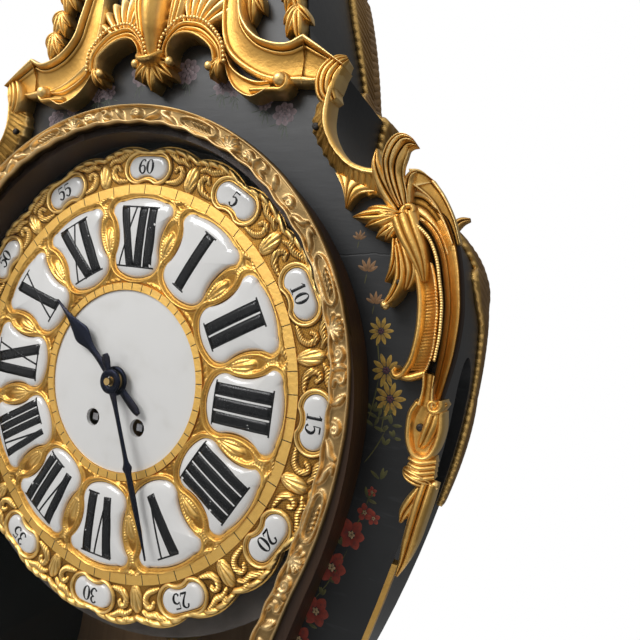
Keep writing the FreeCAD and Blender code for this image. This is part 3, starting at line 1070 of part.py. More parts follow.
def hood():
    """Moulded cap on the neck, the bell-shaped dome over it and the gilt finial."""
    over, rise = S.cap_overhang, S.neck_top
    back, front = CASE_BACK, FRONT_FACE
    levels = ((0.0, 0.0), (0.35, 0.35), (0.7, 0.9), (1.0, 1.0))
    cap = Part.makeLoft([rounded_plan(S.neck_half + over * grow, back, front + over * grow,
                                      rise + S.cap_height * share, S.cap_corner)
                         for share, grow in levels], True, False)
    dome_rise = rise + S.cap_height
    dome = []
    for share, shrink in ((0.0, 0.06), (0.3, 0.16), (0.6, 0.42), (0.85, 0.66), (1.0, 0.74)):
        half = S.neck_half * (1 - shrink)
        middle, deep = (back + front) / 2, (front - back) / 2 * (1 - shrink)
        dome.append(rounded_plan(half, middle - deep, middle + deep, dome_rise + S.dome_height * share,
                                 min(half, deep) * 0.3))
    solid_part("hood", group([cap, Part.makeLoft(dome, True, False)]))
    stations = ((0.72, 0.0), (0.4, 0.09), (0.36, 0.16), (0.82, 0.28), (1.0, 0.4), (0.76, 0.54),
                (0.42, 0.62), (0.54, 0.71), (0.46, 0.84), (0.18, 0.95), (0.05, 1.0))
    finial = turned([(S.finial_radius * wide, S.finial_height * share) for wide, share in stations],
                    V(0, 1, 0))
    finial.translate(V(0, dome_rise + S.dome_height, (back + front) / 2))
    solid_part("finial", finial)


def turned(stations, up):
    """A turned piece from (radius, height) stations along its axis."""
    points = [V(radius, 0, 0) + up * height for radius, height in stations]
    curve = Part.BSplineCurve()
    curve.interpolate(points)
    foot, tip = up * stations[0][1], up * stations[-1][1]
    wire = Part.Wire([curve.toShape(), Part.makeLine(points[-1], tip), Part.makeLine(tip, foot),
                      Part.makeLine(foot, points[0])])
    return Part.Face(wire).revolve(V(0, 0, 0), up, 360)


CORNER_OUT, CORNER_FORWARD = 0.86, 0.82


def shelf_plan(half, depth, height):
    """Plan of the bracket: straight back on the wall, swelling sides and a bowed front."""
    corner = (half * CORNER_OUT, -depth * CORNER_FORWARD, height)
    flank = arc((half, 0, height), (half * 1.01, -depth * 0.45, height), corner)
    bow = arc(corner, (0, -depth, height), (-corner[0], corner[1], height))
    back = line((-half, 0, height), (half, 0, height))
    return Part.Wire(Part.__sortEdges__([back, flank, bow, mirrored(flank)]))


def bracket():
    """Wall bracket: shelf with a gilt rim, tapering ogee body, gilt mounts, drop and hanging plates."""
    hangers = hanging_plates()
    solid_part("hanging_plates", hangers, HANG)
    top = -S.screw_rise
    under = top - S.shelf_board
    half = S.base_half + S.shelf_margin
    shelf = Part.Face(shelf_plan(half, S.shelf_depth, under)).extrude(V(0, 0, S.shelf_board))
    solid_part("bracket_shelf", shelf.cut(hangers), HANG)
    rim_low = top - S.rim_height
    outer = Part.Face(shelf_plan(half + S.rim_width, S.shelf_depth + S.rim_width, rim_low))
    rim = outer.extrude(V(0, 0, S.rim_height)).cut(shelf)
    inner = Part.Face(shelf_plan(half - S.rim_lap, S.shelf_depth - S.rim_lap, rim_low - 1))
    solid_part("bracket_rim", rim.cut(inner.extrude(V(0, 0, S.rim_height))), HANG)
    profile = ((0.0, 1.0), (0.14, 0.97), (0.36, 0.76), (0.58, 0.42), (0.78, 0.16), (0.92, 0.04),
               (1.0, 0.0))
    plans = []
    for share, grow in profile:
        half = S.tip_half + (S.body_half - S.tip_half) * grow
        depth = S.tip_depth + (S.body_depth - S.tip_depth) * grow
        plans.append((half, depth, under - S.body_height * share))
    body = Part.makeLoft([shelf_plan(*plan) for plan in plans], True, False)
    solid_part("bracket_body", body.cut(hangers), HANG)
    solid_part("bracket_mounts", group(bracket_mounts(plans, body)), HANG)
    stations = ((1.0, 0.0), (1.1, 0.13), (0.85, 0.38), (0.42, 0.58), (0.5, 0.7), (0.36, 0.87), (0.06, 1.0))
    bud = turned([(S.drop_radius * wide, -S.drop_height * share) for wide, share in stations], V(0, 0, 1))
    bud.translate(V(0, -S.tip_depth * 0.5, under - S.body_height))
    solid_part("bracket_drop", bud, HANG)


def hanging_plates():
    """Two iron plates let into the bracket's back, each with a screw hole above the shelf."""
    plates = []
    for side in (-1, 1):
        x = side * S.screw_spacing / 2
        plate = Part.makeBox(2 * S.hanger_half, S.hanger_thickness, S.hanger_reach,
                             V(x - S.hanger_half, -S.hanger_thickness, S.hanger_half - S.hanger_reach))
        hole = Part.makeCylinder(S.screw_hole_radius, S.hanger_thickness + 2,
                                 V(x, -S.hanger_thickness - 1, 0), V(0, 1, 0))
        plates.append(plate.cut(hole))
    return group(plates)


def bracket_mounts(plans, body):
    """Leaf-scroll mounts down the two front corners and a cartouche on the front."""
    corner_sections, middle_sections = [], []
    for index, (half, depth, height) in enumerate(plans[:-1]):
        radius = S.rib_radius - S.rib_taper * index
        centre = V(half * CORNER_OUT, -depth * CORNER_FORWARD, height)
        corner_sections.append(Part.Wire(Part.makeCircle(radius, centre, V(0, 0, 1))))
    corner = Part.makeLoft(corner_sections, True, False).cut(body)
    for share, wide, thick in ((0.12, 10, 4), (0.22, 60, 9), (0.38, 52, 10), (0.55, 34, 8), (0.72, 10, 4)):
        half, depth, height = plan_at(plans, share)
        left, right = [(side * wide / 2, -depth * 0.94, height) for side in (-1, 1)]
        middle_sections.append(Part.Wire([line(left, right), arc(right, (0, -depth - thick, height), left)]))
    cartouche = Part.makeLoft(middle_sections, True, False).cut(body)
    return [corner, mirrored(corner), cartouche]


def plan_at(plans, share):
    """Width and depth of the bracket body part of the way down, between its plans."""
    top, bottom = plans[0][2], plans[-1][2]
    height = top + (bottom - top) * share
    for first, second in zip(plans, plans[1:]):
        if second[2] <= height:
            part = (first[2] - height) / (first[2] - second[2])
            half, depth = [first[axis] + (second[axis] - first[axis]) * part for axis in (0, 1)]
            return half, depth, height
    return plans[-1]


def build():
    """Make every sub-part in the order it would be put together."""
    bracket()
    case_boards()
    back_leaves, back_pins = back_of_case()
    seat_of_movement()
    hood()
    gilt_mounts()
    lugs, pins = door()
    solid_part("case_hinge_leaves", group(back_leaves + lugs))
    solid_part("hinge_pins", group(back_pins + pins))
    dial()
    hands()
    movement_frame()
    going_train()
    winding_work()
    motion_work()
    strike_train()
    escapement_and_pendulum()


def write_parts():
    """Check every object and write each sub-part to its own file."""
    doc.recompute()
    for obj in doc.Objects:
        if any(word in obj.State for word in ("Invalid", "Error")):
            raise RuntimeError(f"{obj.Label} failed: {obj.State}")
    os.makedirs("parts", exist_ok=True)
    for obj in nodes:
        if obj.Shape.isNull() or not obj.Shape.isValid() or not obj.Shape.Solids:
            raise RuntimeError(f"{obj.Label} has no valid solid")
    for obj in nodes:
        obj.Shape.exportStep(f"parts/{obj.Label}.step")
    print(len(nodes), "sub-parts,", sum(len(obj.Shape.Solids) for obj in nodes), "solids")


build()
write_parts()
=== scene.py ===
"""Looks of a black lacquered bracket clock with gilt mounts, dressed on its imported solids.

Shapes are worked out in bench millimetres: right, up the dial and out of the dial, from the dial's centre.
"""
import logging
import math
from dataclasses import dataclass, field, replace
from enum import Enum
from typing import Callable, Dict, List, Optional, Sequence, Tuple, Union

import bpy
import numpy as np
from mathutils import Matrix, Vector


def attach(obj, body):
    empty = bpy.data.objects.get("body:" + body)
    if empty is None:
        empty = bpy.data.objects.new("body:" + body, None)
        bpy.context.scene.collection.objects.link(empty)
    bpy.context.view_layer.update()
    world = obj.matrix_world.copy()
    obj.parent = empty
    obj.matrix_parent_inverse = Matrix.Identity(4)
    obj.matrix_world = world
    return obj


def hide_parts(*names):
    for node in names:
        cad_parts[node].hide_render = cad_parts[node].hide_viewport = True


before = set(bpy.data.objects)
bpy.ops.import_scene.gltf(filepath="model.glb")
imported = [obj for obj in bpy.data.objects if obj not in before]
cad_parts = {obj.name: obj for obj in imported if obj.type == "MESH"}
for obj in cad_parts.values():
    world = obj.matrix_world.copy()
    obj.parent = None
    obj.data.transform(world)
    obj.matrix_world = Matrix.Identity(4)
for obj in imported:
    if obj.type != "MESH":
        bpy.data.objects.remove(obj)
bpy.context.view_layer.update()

LOG = logging.getLogger("clock")
Array = np.ndarray
Material = bpy.types.Material
Pair = Tuple[float, float]
Place = Tuple[float, float, float]
Colour = Tuple[float, float, float]
Tint = Tuple[Colour, Colour]
Rows = Sequence[Sequence[float]]
Section = Callable[[Array, Array], Array]

MM = 1000.0  # millimetres in a metre
DIAL_FRONT = 120.0  # how far the dial's centre stands out from the wall
DIAL_RISE = 278.0  # its height over the frame's origin
PANEL = -2.0  # level of the case's front
SUNK = 0.3  # how deep a mount is let into it
SPAN_STEPS = 24  # points on each span of a curve
HOURS = 12
SECTOR = 30.0  # degrees of one hour
# relief: a level that the carved gilding turns into painted shade in hollows and painted highlight on crests
EVEN, TURNED, PROUD = 0.5, 0.6, 0.8  # relief of plain skin, turned work and beads
NEAR = 6  # averagings in a piece's worked out relief
UNDERCUT = 0.97  # width of a moulding's underside in its own


class Cap(Enum):
    """Whether the end rows of a wrapped grid are closed with a fan of triangles."""

    NONE = 0
    BOTH = 1


@dataclass
class Shell:
    """Points in bench millimetres, the faces that join them and what a finish reads at each point."""

    points: Array
    faces: List[Array]
    relief: Array
    paint: Optional[Array] = None

    def mirrored(self) -> "Shell":
        """The same shell on the other side of the clock's centre line."""
        return Shell(self.points * np.array([-1.0, 1.0, 1.0]), [f[:, ::-1] for f in self.faces],
                     self.relief, self.paint)

    def turned(self, degrees: float) -> "Shell":
        """The same shell turned clockwise round the dial's centre."""
        c, s = heading(degrees)
        return Shell(self.points @ np.array([[c, -s, 0], [s, c, 0], [0, 0, 1.0]]), self.faces,
                     self.relief, self.paint)


def both_sides(shells: Sequence[Shell]) -> List[Shell]:
    """The shells and their mirror images."""
    return list(shells) + [shell.mirrored() for shell in shells]


def to_metres(bench: Array) -> Array:
    """Bench millimetres as metres in the frame that the solids share."""
    return np.stack([bench[..., 0], -bench[..., 2] - DIAL_FRONT, bench[..., 1] + DIAL_RISE], -1) / MM


def unit(vectors: Array) -> Array:
    """Vectors scaled to length one along the last axis."""
    return vectors / (np.linalg.norm(vectors, axis=-1, keepdims=True) + 1e-9)


def ease(low: float, high: float, value: Array) -> Array:
    """A smooth step from 0 at low to 1 at high."""
    t = np.clip((value - low) / (high - low), 0.0, 1.0)
    return t * t * (3.0 - 2.0 * t)


def heading(degrees: float) -> Array:
    """The unit vector at an angle from right towards up."""
    return np.array([math.cos(math.radians(degrees)), math.sin(math.radians(degrees))])


def arch(square: Array) -> Array:
    """Height of a half circle of radius one, from the squared way off its middle; 0 outside it."""
    return np.sqrt(np.clip(1 - square, 0, 1))


def lattice(count: int, across: int) -> Tuple[Array, Array]:
    """Run u from 0 to 1 down the rows and way v from -1 to 1 along the columns."""
    return np.linspace(0, 1, count)[:, None], np.linspace(-1, 1, across)[None, :]


def run_along(line: Array) -> Array:
    """Way along a line from its first point to each of its points."""
    return np.concatenate([[0], np.cumsum(np.linalg.norm(np.diff(line, axis=0), axis=1))])


def at_runs(line: Array, run: Array, at: Array) -> Array:
    """Every channel of a line at given ways along it."""
    return np.stack([np.interp(at, run, channel) for channel in line.T], -1)


def grid_faces(rows: int, columns: int, wrap_rows: bool, wrap_columns: bool) -> Array:
    """Quads that join the neighbours of a grid whose points are numbered row by row.

    Args:
        rows: Number of rows.
        columns: Number of points in a row.
        wrap_rows: Whether the last row joins the first.
        wrap_columns: Whether a row's last point joins its first.

    Returns:
        Point numbers, four to a face.
    """
    i, j = np.meshgrid(np.arange(rows if wrap_rows else rows - 1),
                       np.arange(columns if wrap_columns else columns - 1), indexing="ij")
    below, beside = (i + 1) % rows, (j + 1) % columns
    return np.stack([i * columns + j, below * columns + j, below * columns + beside,
                     i * columns + beside], -1).reshape(-1, 4)


def convexity(points: Array, wrap_rows: bool, wrap_columns: bool, steps: int) -> Array:
    """How proud each grid point stands of its smoothed neighbourhood.

    The grid is averaged with its neighbours a number of times; the way from there back to the point,
    measured along the surface normal, is scaled so that hollows give 0, plain skin 0.5 and crests 1.

    Args:
        points: Grid of points.
        wrap_rows: Whether the last row joins the first.
        wrap_columns: Whether a row's last point joins its first.
        steps: How many times the grid is averaged.

    Returns:
        One value from 0 to 1 for each point.
    """
    smooth = points
    for _ in range(steps):
        total = np.zeros_like(smooth)
        for axis, wrap in ((0, wrap_rows), (1, wrap_columns)):
            ahead, back = np.roll(smooth, -1, axis), np.roll(smooth, 1, axis)
            if not wrap:
                np.moveaxis(ahead, axis, 0)[-1] = np.moveaxis(smooth, axis, 0)[-1]
                np.moveaxis(back, axis, 0)[0] = np.moveaxis(smooth, axis, 0)[0]
            total += ahead + back
        smooth = total / 4.0
    normal = unit(np.cross(np.gradient(points, axis=0), np.gradient(points, axis=1)))
    middle = points.mean(axis=1, keepdims=True) if wrap_columns else points - np.array([0, 0, 1.0])
    side = 1.0 if np.sum(normal * (points - middle)) >= 0 else -1.0
    proud = side * np.sum((points - smooth) * normal, -1)
    return np.clip(0.5 + 0.5 * proud / (np.percentile(np.abs(proud), 85) + 1e-6), 0.0, 1.0)


def facing_out(shell: Shell, closed: bool) -> Shell:
    """Turns a shell's faces outwards.

    Args:
        shell: The shell.
        closed: Whether it encloses a volume; an open sheet has to face out of the dial instead.

    Returns:
        The shell with its faces kept or reversed.
    """
    total = 0.0
    for faces in shell.faces:
        first = shell.points[faces[:, 0]]
        for k in range(1, faces.shape[1] - 1):
            a, b = shell.points[faces[:, k]], shell.points[faces[:, k + 1]]
            if closed:
                total += np.sum(first * np.cross(a, b))
            else:
                total += np.sum(np.cross(a - first, b - first)[:, 2])
    return shell if total >= 0 else replace(shell, faces=[f[:, ::-1] for f in shell.faces])


def skin(points: Array, wrap_rows: bool = False, wrap_columns: bool = False, cap: Cap = Cap.NONE,
         relief: Union[Array, float, None] = None, paint: Optional[Array] = None) -> Shell:
    """A grid of points as a shell that faces outwards.

    Args:
        points: Grid of points, rows by columns by 3.
        wrap_rows: Whether the last row joins the first.
        wrap_columns: Whether a row's last point joins its first.
        cap: Whether the end rows are closed with a fan round their middle.
        relief: What the gilding reads at each point, one value for all, or None to work it out.
        paint: Colour at each point.

    Returns:
        The shell.
    """
    rows, columns = points.shape[:2]
    if relief is None:
        relief = convexity(points, wrap_rows, wrap_columns, NEAR)
    flat, relief = points.reshape(-1, 3), np.broadcast_to(relief, (rows, columns)).reshape(-1)
    colours = None if paint is None else paint.reshape(-1, 3)
    faces = [grid_faces(rows, columns, wrap_rows, wrap_columns)]
    for row in (0, rows - 1) if cap is Cap.BOTH else ():
        ring = np.arange(columns) + row * columns
        following = np.roll(ring, -1)
        hub = np.full(columns, len(flat))
        faces.append(np.stack([hub, ring, following] if row == 0 else [hub, following, ring], -1))
        flat = np.vstack([flat, points[row].mean(0)])
        relief = np.append(relief, relief[ring].mean())
        if colours is not None:
            colours = np.vstack([colours, colours[ring].mean(0)])
    return facing_out(Shell(flat, faces, relief, colours),
                      cap is Cap.BOTH or (wrap_rows and wrap_columns))


def tube(points: Array, relief: Optional[float] = None) -> Shell:
    """A grid wrapped across and closed at both ends, with one relief or its own."""
    return skin(points, wrap_columns=True, cap=Cap.BOTH, relief=relief)


@dataclass(frozen=True)
class Seat:
    """The body that a piece rides on, the name of its slot and the nodes it stands for."""

    body: str
    slot: str
    nodes: Tuple[str, ...] = ()


GILT = Seat("case", "gilt_bronze")


def make_piece(name: str, shells: Sequence[Shell], material: Material, seat: Seat) -> None:
    """Puts shells into one mesh object at the origin and seats it on its body.

    Args:
        name: The piece's name.
        shells: What it is made of.
        material: Its finish.
        seat: Where it belongs.
    """
    points = np.vstack([shell.points for shell in shells])
    starts = np.cumsum([0] + [len(shell.points) for shell in shells[:-1]])
    faces = [f + start for shell, start in zip(shells, starts) for f in shell.faces]
    loops = np.concatenate([f.ravel() for f in faces]).astype(np.int32)
    sizes = np.concatenate([np.full(len(f), f.shape[1]) for f in faces])
    mesh = bpy.data.meshes.new(name)
    mesh.vertices.add(len(points))
    mesh.vertices.foreach_set("co", to_metres(points).astype(np.float32).ravel())
    mesh.loops.add(len(loops))
    mesh.loops.foreach_set("vertex_index", loops)
    mesh.polygons.add(len(sizes))
    mesh.polygons.foreach_set("loop_start", np.concatenate([[0], np.cumsum(sizes)[:-1]]).astype(np.int32))
    mesh.polygons.foreach_set("use_smooth", np.ones(len(sizes), bool))
    relief = mesh.attributes.new("relief", "FLOAT", "POINT")
    relief.data.foreach_set("value", np.concatenate([s.relief for s in shells]).astype(np.float32))
    if all(shell.paint is not None for shell in shells):
        paint = np.vstack([shell.paint for shell in shells])
        layer = mesh.attributes.new("paint", "FLOAT_COLOR", "POINT")
        opaque = np.column_stack([paint, np.ones(len(paint))])
        layer.data.foreach_set("color", opaque.astype(np.float32).ravel())
    mesh.update(calc_edges=True)
    mesh.validate()
    mesh.materials.append(material)
    piece = bpy.data.objects.new(name, mesh)
    bpy.context.scene.collection.objects.link(piece)
    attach(piece, seat.body)
    if seat.nodes:
        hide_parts(*seat.nodes)
    LOG.info("%s: %d points, %d faces on %s", name, len(points), len(sizes), seat.body)


def spline(rows: Rows, count: int) -> Array:
    """A smooth line through rows of numbers, at even steps of its length in the first three channels.

    Each span is the cubic whose slope at a row is half the way between that row's neighbours.

    Args:
        rows: Stations of any number of channels.
        count: Number of points wanted.

    Returns:
        Points by channels.
    """
    knots = np.asarray(rows, float)
    spans = len(knots) - 1
    padded = np.vstack([2 * knots[0] - knots[1], knots, 2 * knots[-1] - knots[-2]])
    t = np.linspace(0, spans, SPAN_STEPS * spans + 1)
    i = np.minimum(t.astype(int), spans - 1)
    f = (t - i)[:, None]
    a, b, c, d = padded[i], padded[i + 1], padded[i + 2], padded[i + 3]
    line = 0.5 * (2 * b + (c - a) * f + (2 * a - 5 * b + 4 * c - d) * f ** 2
                  + (3 * b - a - 3 * c + d) * f ** 3)
    run = run_along(line[:, :3])
    return at_runs(line, run, np.linspace(0, run[-1], count))


def path_frames(path: Array) -> Tuple[Array, Array]:
    """Unit vectors across a path in the panel's plane, and out of it.

    Args:
        path: Points of the path.

    Returns:
        Across and out, one of each for every point.
    """
    along = unit(np.gradient(path, axis=0))
    across = unit(np.cross(np.array([0, 0, 1.0]), along))
    return across, np.cross(along, across)


def crowned(u: Array, v: Array) -> Array:
    """A half round section."""
    return arch(v ** 2) + 0 * u


def fluted(count: float, depth: float) -> Section:
    """A half round section with rounded flutes that run along the path.

    Args:
        count: Flutes from edge to edge.
        depth: Depth of the valleys between them as a share of the height.

    Returns:
        The section.
    """
    def section(u: Array, v: Array) -> Array:
        """Half round less the valleys between the flutes."""
        valley = 1 - np.abs(np.sin(np.pi * count * (v + 1) / 2))
        return (0.3 + 0.7 * crowned(u, v)) * (1 - depth * valley ** 1.5) * ease(0, 0.05, 1 - np.abs(v))
    return section


def carried(stations: Rows, section: Section, count: int = 120, across: int = 21,
            thick: Optional[float] = None) -> Shell:
    """A closed bar: a section carried along a smooth path.

    A point is the path's point, plus half the width times v across, plus the height times the section's
    share at (u, v) outwards; the underside is flat in the panel, or follows the path at a thickness.

    Args:
        stations: Rows of right, up, out, half width and height.
        section: Height share as a function of the run u from 0 to 1 and v from -1 to 1 across.
        count: Points along the path.
        across: Points across it.
        thick: Thickness under the path, or None to go down into the panel.

    Returns:
        The bar as a closed shell.
    """
    rows = spline(stations, count)
    side, out = path_frames(rows[:, :3])
    u, v = lattice(count, across)
    half, height = rows[:, 3:4], rows[:, 4:5]
    top = (rows[:, None, :3] + side[:, None] * (half * v)[..., None]
           + out[:, None] * (height * section(u, v))[..., None])
    if thick is None:
        under = top[:, [-1, 0]].copy()
        under[..., 2] = PANEL - SUNK
    else:
        under = rows[:, None, :3] + side[:, None] * (UNDERCUT * half * v)[..., None] - thick * out[:, None]
        under = under[:, ::-1]
    return tube(np.concatenate([top, under], 1))


def fan(hinge: Place, reach: float, first: float, last: float, flutes: int,
        height: float, count: int = 30, across: int = 12) -> Shell:
    """A shell: rounded flutes that spread from a hinge to a scalloped edge and sink into the panel there.

    A point lies at reach times s from the hinge, at an angle between first and last; its height grows
    with the sine of s and is highest on the middle of each flute.

    Args:
        hinge: Right, up and out of the hinge.
        reach: Length of the flutes.
        first: Angle of one edge in degrees, from right towards up.
        last: Angle of the other edge.
        flutes: Number of flutes.
        height: Height of the flutes.
        count: Points along a flute.
        across: Points across each flute.

    Returns:
        The shell, open at its back inside the panel.
    """
    s = np.linspace(0.02, 1, count)[:, None]
    t = np.linspace(0, 1, flutes * across + 1)[None, :]
    bulge = np.abs(np.sin(np.pi * flutes * t)) ** 0.8
    radius = reach * s * (1 - 0.13 * (1 - bulge) * s)
    angle = np.radians(first + (last - first) * t)
    body = np.sin(np.pi * np.clip(0.12 + 0.72 * s, 0, 1)) * (0.45 + 0.55 * bulge)
    rim = ease(0, 0.05, 1 - s) * ease(0, 0.02, t) * ease(0, 0.02, 1 - t)
    floor = PANEL - SUNK
    out = floor + (hinge[2] - floor + height * body) * rim
    points = np.stack([hinge[0] + radius * np.cos(angle), hinge[1] + radius * np.sin(angle), out], -1)
    return skin(points)


def spray(root: Place, blades: Sequence[Place], height: float = 2.6) -> List[Shell]:
    """Pointed leaflets that spread from one root, each with a groove on both sides of its rib.

    Args:
        root: Right, up and out.
        blades: Direction in degrees, length and half width of each leaflet.
        height: Height at the leaflet's broadest place.

    Returns:
        The leaflets.
    """
    shells = []
    for degrees, length, half in blades:
        way = length * heading(degrees)
        rows = [(root[0] + run * way[0], root[1] + run * way[1], root[2] + bow, half * wide, height * tall)
                for run, bow, wide, tall in ((0, 0, 0.6, 1), (0.35, 0.8, 1.0, 1.1), (0.7, 0.6, 0.8, 0.9),
                                             (1, -0.8, 0.1, 0.5))]
        shells.append(carried(rows, fluted(2, 0.5), 44, 25))
    return shells


def bead_row(centres: Array, radius: Union[float, Array], around: int = 10, bands: int = 6) -> Shell:
    """Small balls at given centres.

    Args:
        centres: One point for each ball.
        radius: One radius for all, or one for each.
        around: Points round a ball.
        bands: Rows from pole to pole.

    Returns:
        All balls as one shell.
    """
    polar = np.linspace(0, np.pi, bands)[1:-1, None]
    turn = np.linspace(0, 2 * np.pi, around, endpoint=False)[None, :]
    ball = np.stack([np.sin(polar) * np.cos(turn), np.sin(polar) * np.sin(turn),
                     np.cos(polar) + 0 * turn], -1)
    one = tube(ball, PROUD)
    sizes = np.broadcast_to(np.asarray(radius, float), (len(centres),))
    points = centres[:, None, :] + sizes[:, None, None] * one.points[None]
    starts = np.arange(len(centres))[:, None, None] * len(one.points)
    faces = [(f[None] + starts).reshape(-1, f.shape[1]) for f in one.faces]
    return Shell(points.reshape(-1, 3), faces, np.tile(one.relief, len(centres)))


def beads_along(stations: Rows, radius: float, pitch: float) -> Shell:
    """Balls set along a smooth path.

    Args:
        stations: Rows of right, up and out.
        radius: Radius of a ball.
        pitch: Distance between neighbours.

    Returns:
        All balls as one shell.
    """
    length = run_along(spline(stations, 200))[-1]
    return bead_row(spline(stations, max(2, int(length / pitch))), radius)


def volute(centre: Pair, start: float, turns: float, outer: float, inner: float,
           count: int = 10) -> Array:
    """Points of a spiral.

    Args:
        centre: Its eye.
        start: Angle of its first point in degrees.
        turns: Turns to the eye, positive to the left.
        outer: First radius.
        inner: Last radius.
        count: Number of points.

    Returns:
        Points, right and up.
    """
    t = np.linspace(0, 1, count)
    angle = np.radians(start) + 2 * np.pi * turns * t
    radius = outer * (inner / outer) ** t
    return np.stack([centre[0] + radius * np.cos(angle), centre[1] + radius * np.sin(angle)], -1)


def scroll_bar(line: Array, out: float, half: Pair, height: Pair,
               section: Section = crowned, count: int = 90) -> Shell:
    """A bar on a flat line whose width and height change evenly from one end to the other.

    Args:
        line: Points, right and up.
        out: Level of the bar's foot.
        half: First and last half width.
        height: First and last height.
        section: Its section.
        count: Points along it.

    Returns:
        The bar as a closed shell.
    """
    t = np.linspace(0, 1, len(line))
    rows = np.column_stack([line, np.full(len(line), out), half[0] + (half[1] - half[0]) * t,
                            height[0] + (height[1] - height[0]) * t])
    return carried(rows, section, count=count, across=13)


def arc_through(a: Sequence[float], b: Sequence[float], c: Sequence[float], count: int) -> Array:
    """Points of the circular arc from a through b to c.

    The centre is where the perpendicular bisectors of a-b and b-c meet.

    Args:
        a: First point.
        b: A point on the way.
        c: Last point.
        count: Number of points, the last left off.

    Returns:
        Points, right and up.
    """
    a, b, c = (np.asarray(p, float) for p in (a, b, c))
    sides = 2 * np.array([b - a, c - b])
    centre = np.linalg.solve(sides, np.array([b @ b - a @ a, c @ c - b @ b]))
    angles = np.unwrap([math.atan2(*(p - centre)[::-1]) for p in (a, b)])
    last = math.atan2(*(c - centre)[::-1])
    way = 1.0 if angles[1] > angles[0] else -1.0
    sweep = (way * (last - angles[0])) % (2 * np.pi)
    turn = angles[0] + way * sweep * np.arange(count) / count
    return centre + np.linalg.norm(a - centre) * np.stack([np.cos(turn), np.sin(turn)], -1)


class Sock:
    """A shader output that takes part in Python arithmetic; each step adds a Math node."""

    def __init__(self, kit: "NodeKit", socket: bpy.types.NodeSocket) -> None:
        self.kit, self.socket = kit, socket

    def math(self, operation: str, *values: Union["Sock", float]) -> "Sock":
        """A Math node on the given values, which may hold this one."""
        return self.kit.add("ShaderNodeMath", {"operation": operation}, dict(enumerate(values)))

    def __add__(self, other: Union["Sock", float]) -> "Sock":
        """Sum."""
        return self.math("ADD", self, other)

    def __sub__(self, other: Union["Sock", float]) -> "Sock":
        """Difference."""
        return self.math("SUBTRACT", self, other)

    def __rsub__(self, other: float) -> "Sock":
        """A number less this value."""
        return self.math("SUBTRACT", other, self)

    def __mul__(self, other: Union["Sock", float]) -> "Sock":
        """Product."""
        return self.math("MULTIPLY", self, other)

    def __abs__(self) -> "Sock":
        """Size without sign."""
        return self.math("ABSOLUTE", self)

    def beside(self, output: Union[str, int]) -> "Sock":
        """Another output of the same node."""
        return Sock(self.kit, self.socket.node.outputs[output])

    __radd__ = __add__
    __rmul__ = __mul__

    def eased(self, low: float, high: float) -> "Sock":
        """A smooth step from 0 at low to 1 at high."""
        return self.kit.add("ShaderNodeMapRange", {"interpolation_type": "SMOOTHSTEP"},
                            {"Value": self, "From Min": low, "From Max": high})


Input = Union[Sock, float, Tuple[float, ...]]


class NodeKit:
    """Adds nodes to one tree."""

    def __init__(self, tree: bpy.types.NodeTree) -> None:
        """Keeps the tree."""
        self.tree = tree

    def add(self, kind: str, settings: Optional[Dict[str, object]] = None,
            inputs: Optional[Dict[Union[str, int], Input]] = None, output: Union[str, int] = 0) -> Sock:
        """Adds a node.

        Args:
            kind: The node's type.
            settings: Its own settings, set first; a ramp's stops are pairs of place and colour.
            inputs: Values or links of its sockets, by name or number.
            output: The output wanted.

        Returns:
            That output.
        """
        node = self.tree.nodes.new(kind)
        for key, value in (settings or {}).items():
            if key == "stops":
                ramp = node.color_ramp
                while len(ramp.elements) < len(value):
                    ramp.elements.new(1.0)
                for element, (at, colour) in zip(ramp.elements, value):
                    element.position, element.color = at, (*colour, 1.0)
            else:
                setattr(node, key, value)
        self.wire(node, inputs or {})
        return Sock(self, node.outputs[output])

    def wire(self, node: bpy.types.Node, inputs: Dict[Union[str, int], Input]) -> None:
        """Sets or links a node's sockets.

        Args:
            node: The node.
            inputs: Values or links by socket name or number.
        """
        for key, value in inputs.items():
            if isinstance(value, Sock):
                self.tree.links.new(value.socket, node.inputs[key])
            else:
                node.inputs[key].default_value = value

    def seen(self) -> Tuple[Sock, Sock]:
        """What the eye or clear glass sees, and what a polished surface mirrors, each 0 or 1."""
        eye = self.add("ShaderNodeLightPath", output="Is Camera Ray")
        return eye.math("MAXIMUM", eye, eye.beside("Is Transmission Ray")), eye.beside("Is Glossy Ray")


class FinishKit(NodeKit):
    """Adds the nodes of one material."""

    def __init__(self, name: str) -> None:
        """Starts a material with its main shader."""
        self.material = bpy.data.materials.new(name)
        self.material.use_nodes = True
        super().__init__(self.material.node_tree)
        self.shader = self.tree.nodes["Principled BSDF"]
        self.place = self.add("ShaderNodeTexCoord", output="Object")

    def noise(self, scale: float, detail: float = 3.0, rough: float = 0.55,
              stretch: Place = (1.0, 1.0, 1.0)) -> Sock:
        """Cloudy noise in the piece's own place.

        Args:
            scale: Clouds in a metre.
            detail: Finer layers.
            rough: Strength of the finer layers.
            stretch: Scale along each axis.

        Returns:
            Values from 0 to 1.
        """
        at = self.add("ShaderNodeMapping", inputs={"Vector": self.place, "Scale": stretch})
        return self.add("ShaderNodeTexNoise", inputs={"Vector": at, "Scale": scale, "Detail": detail,
                                                      "Roughness": rough})

    def ramp(self, value: Sock, *stops: Tuple[float, Colour]) -> Sock:
        """Colour along a ramp of stops."""
        return self.add("ShaderNodeValToRGB", {"stops": stops}, {"Fac": value})

    def blend(self, share: Input, first: Input, second: Input) -> Sock:
        """A colour between two others."""
        return self.add("ShaderNodeMix", {"data_type": "RGBA"}, {0: share, 6: first, 7: second}, 2)

    def bump(self, height: Sock, strength: float, depth: float) -> Sock:
        """A surface normal tilted by a height in metres."""
        return self.add("ShaderNodeBump", inputs={"Height": height, "Strength": strength, "Distance": depth})

    def dress(self, **inputs: Input) -> Material:
        """Sets the main shader's sockets, named with underscores, and gives the material."""
        self.wire(self.shader, {key.replace("_", " ").title().replace("Ior", "IOR"): value
                                for key, value in inputs.items()})
        return self.material


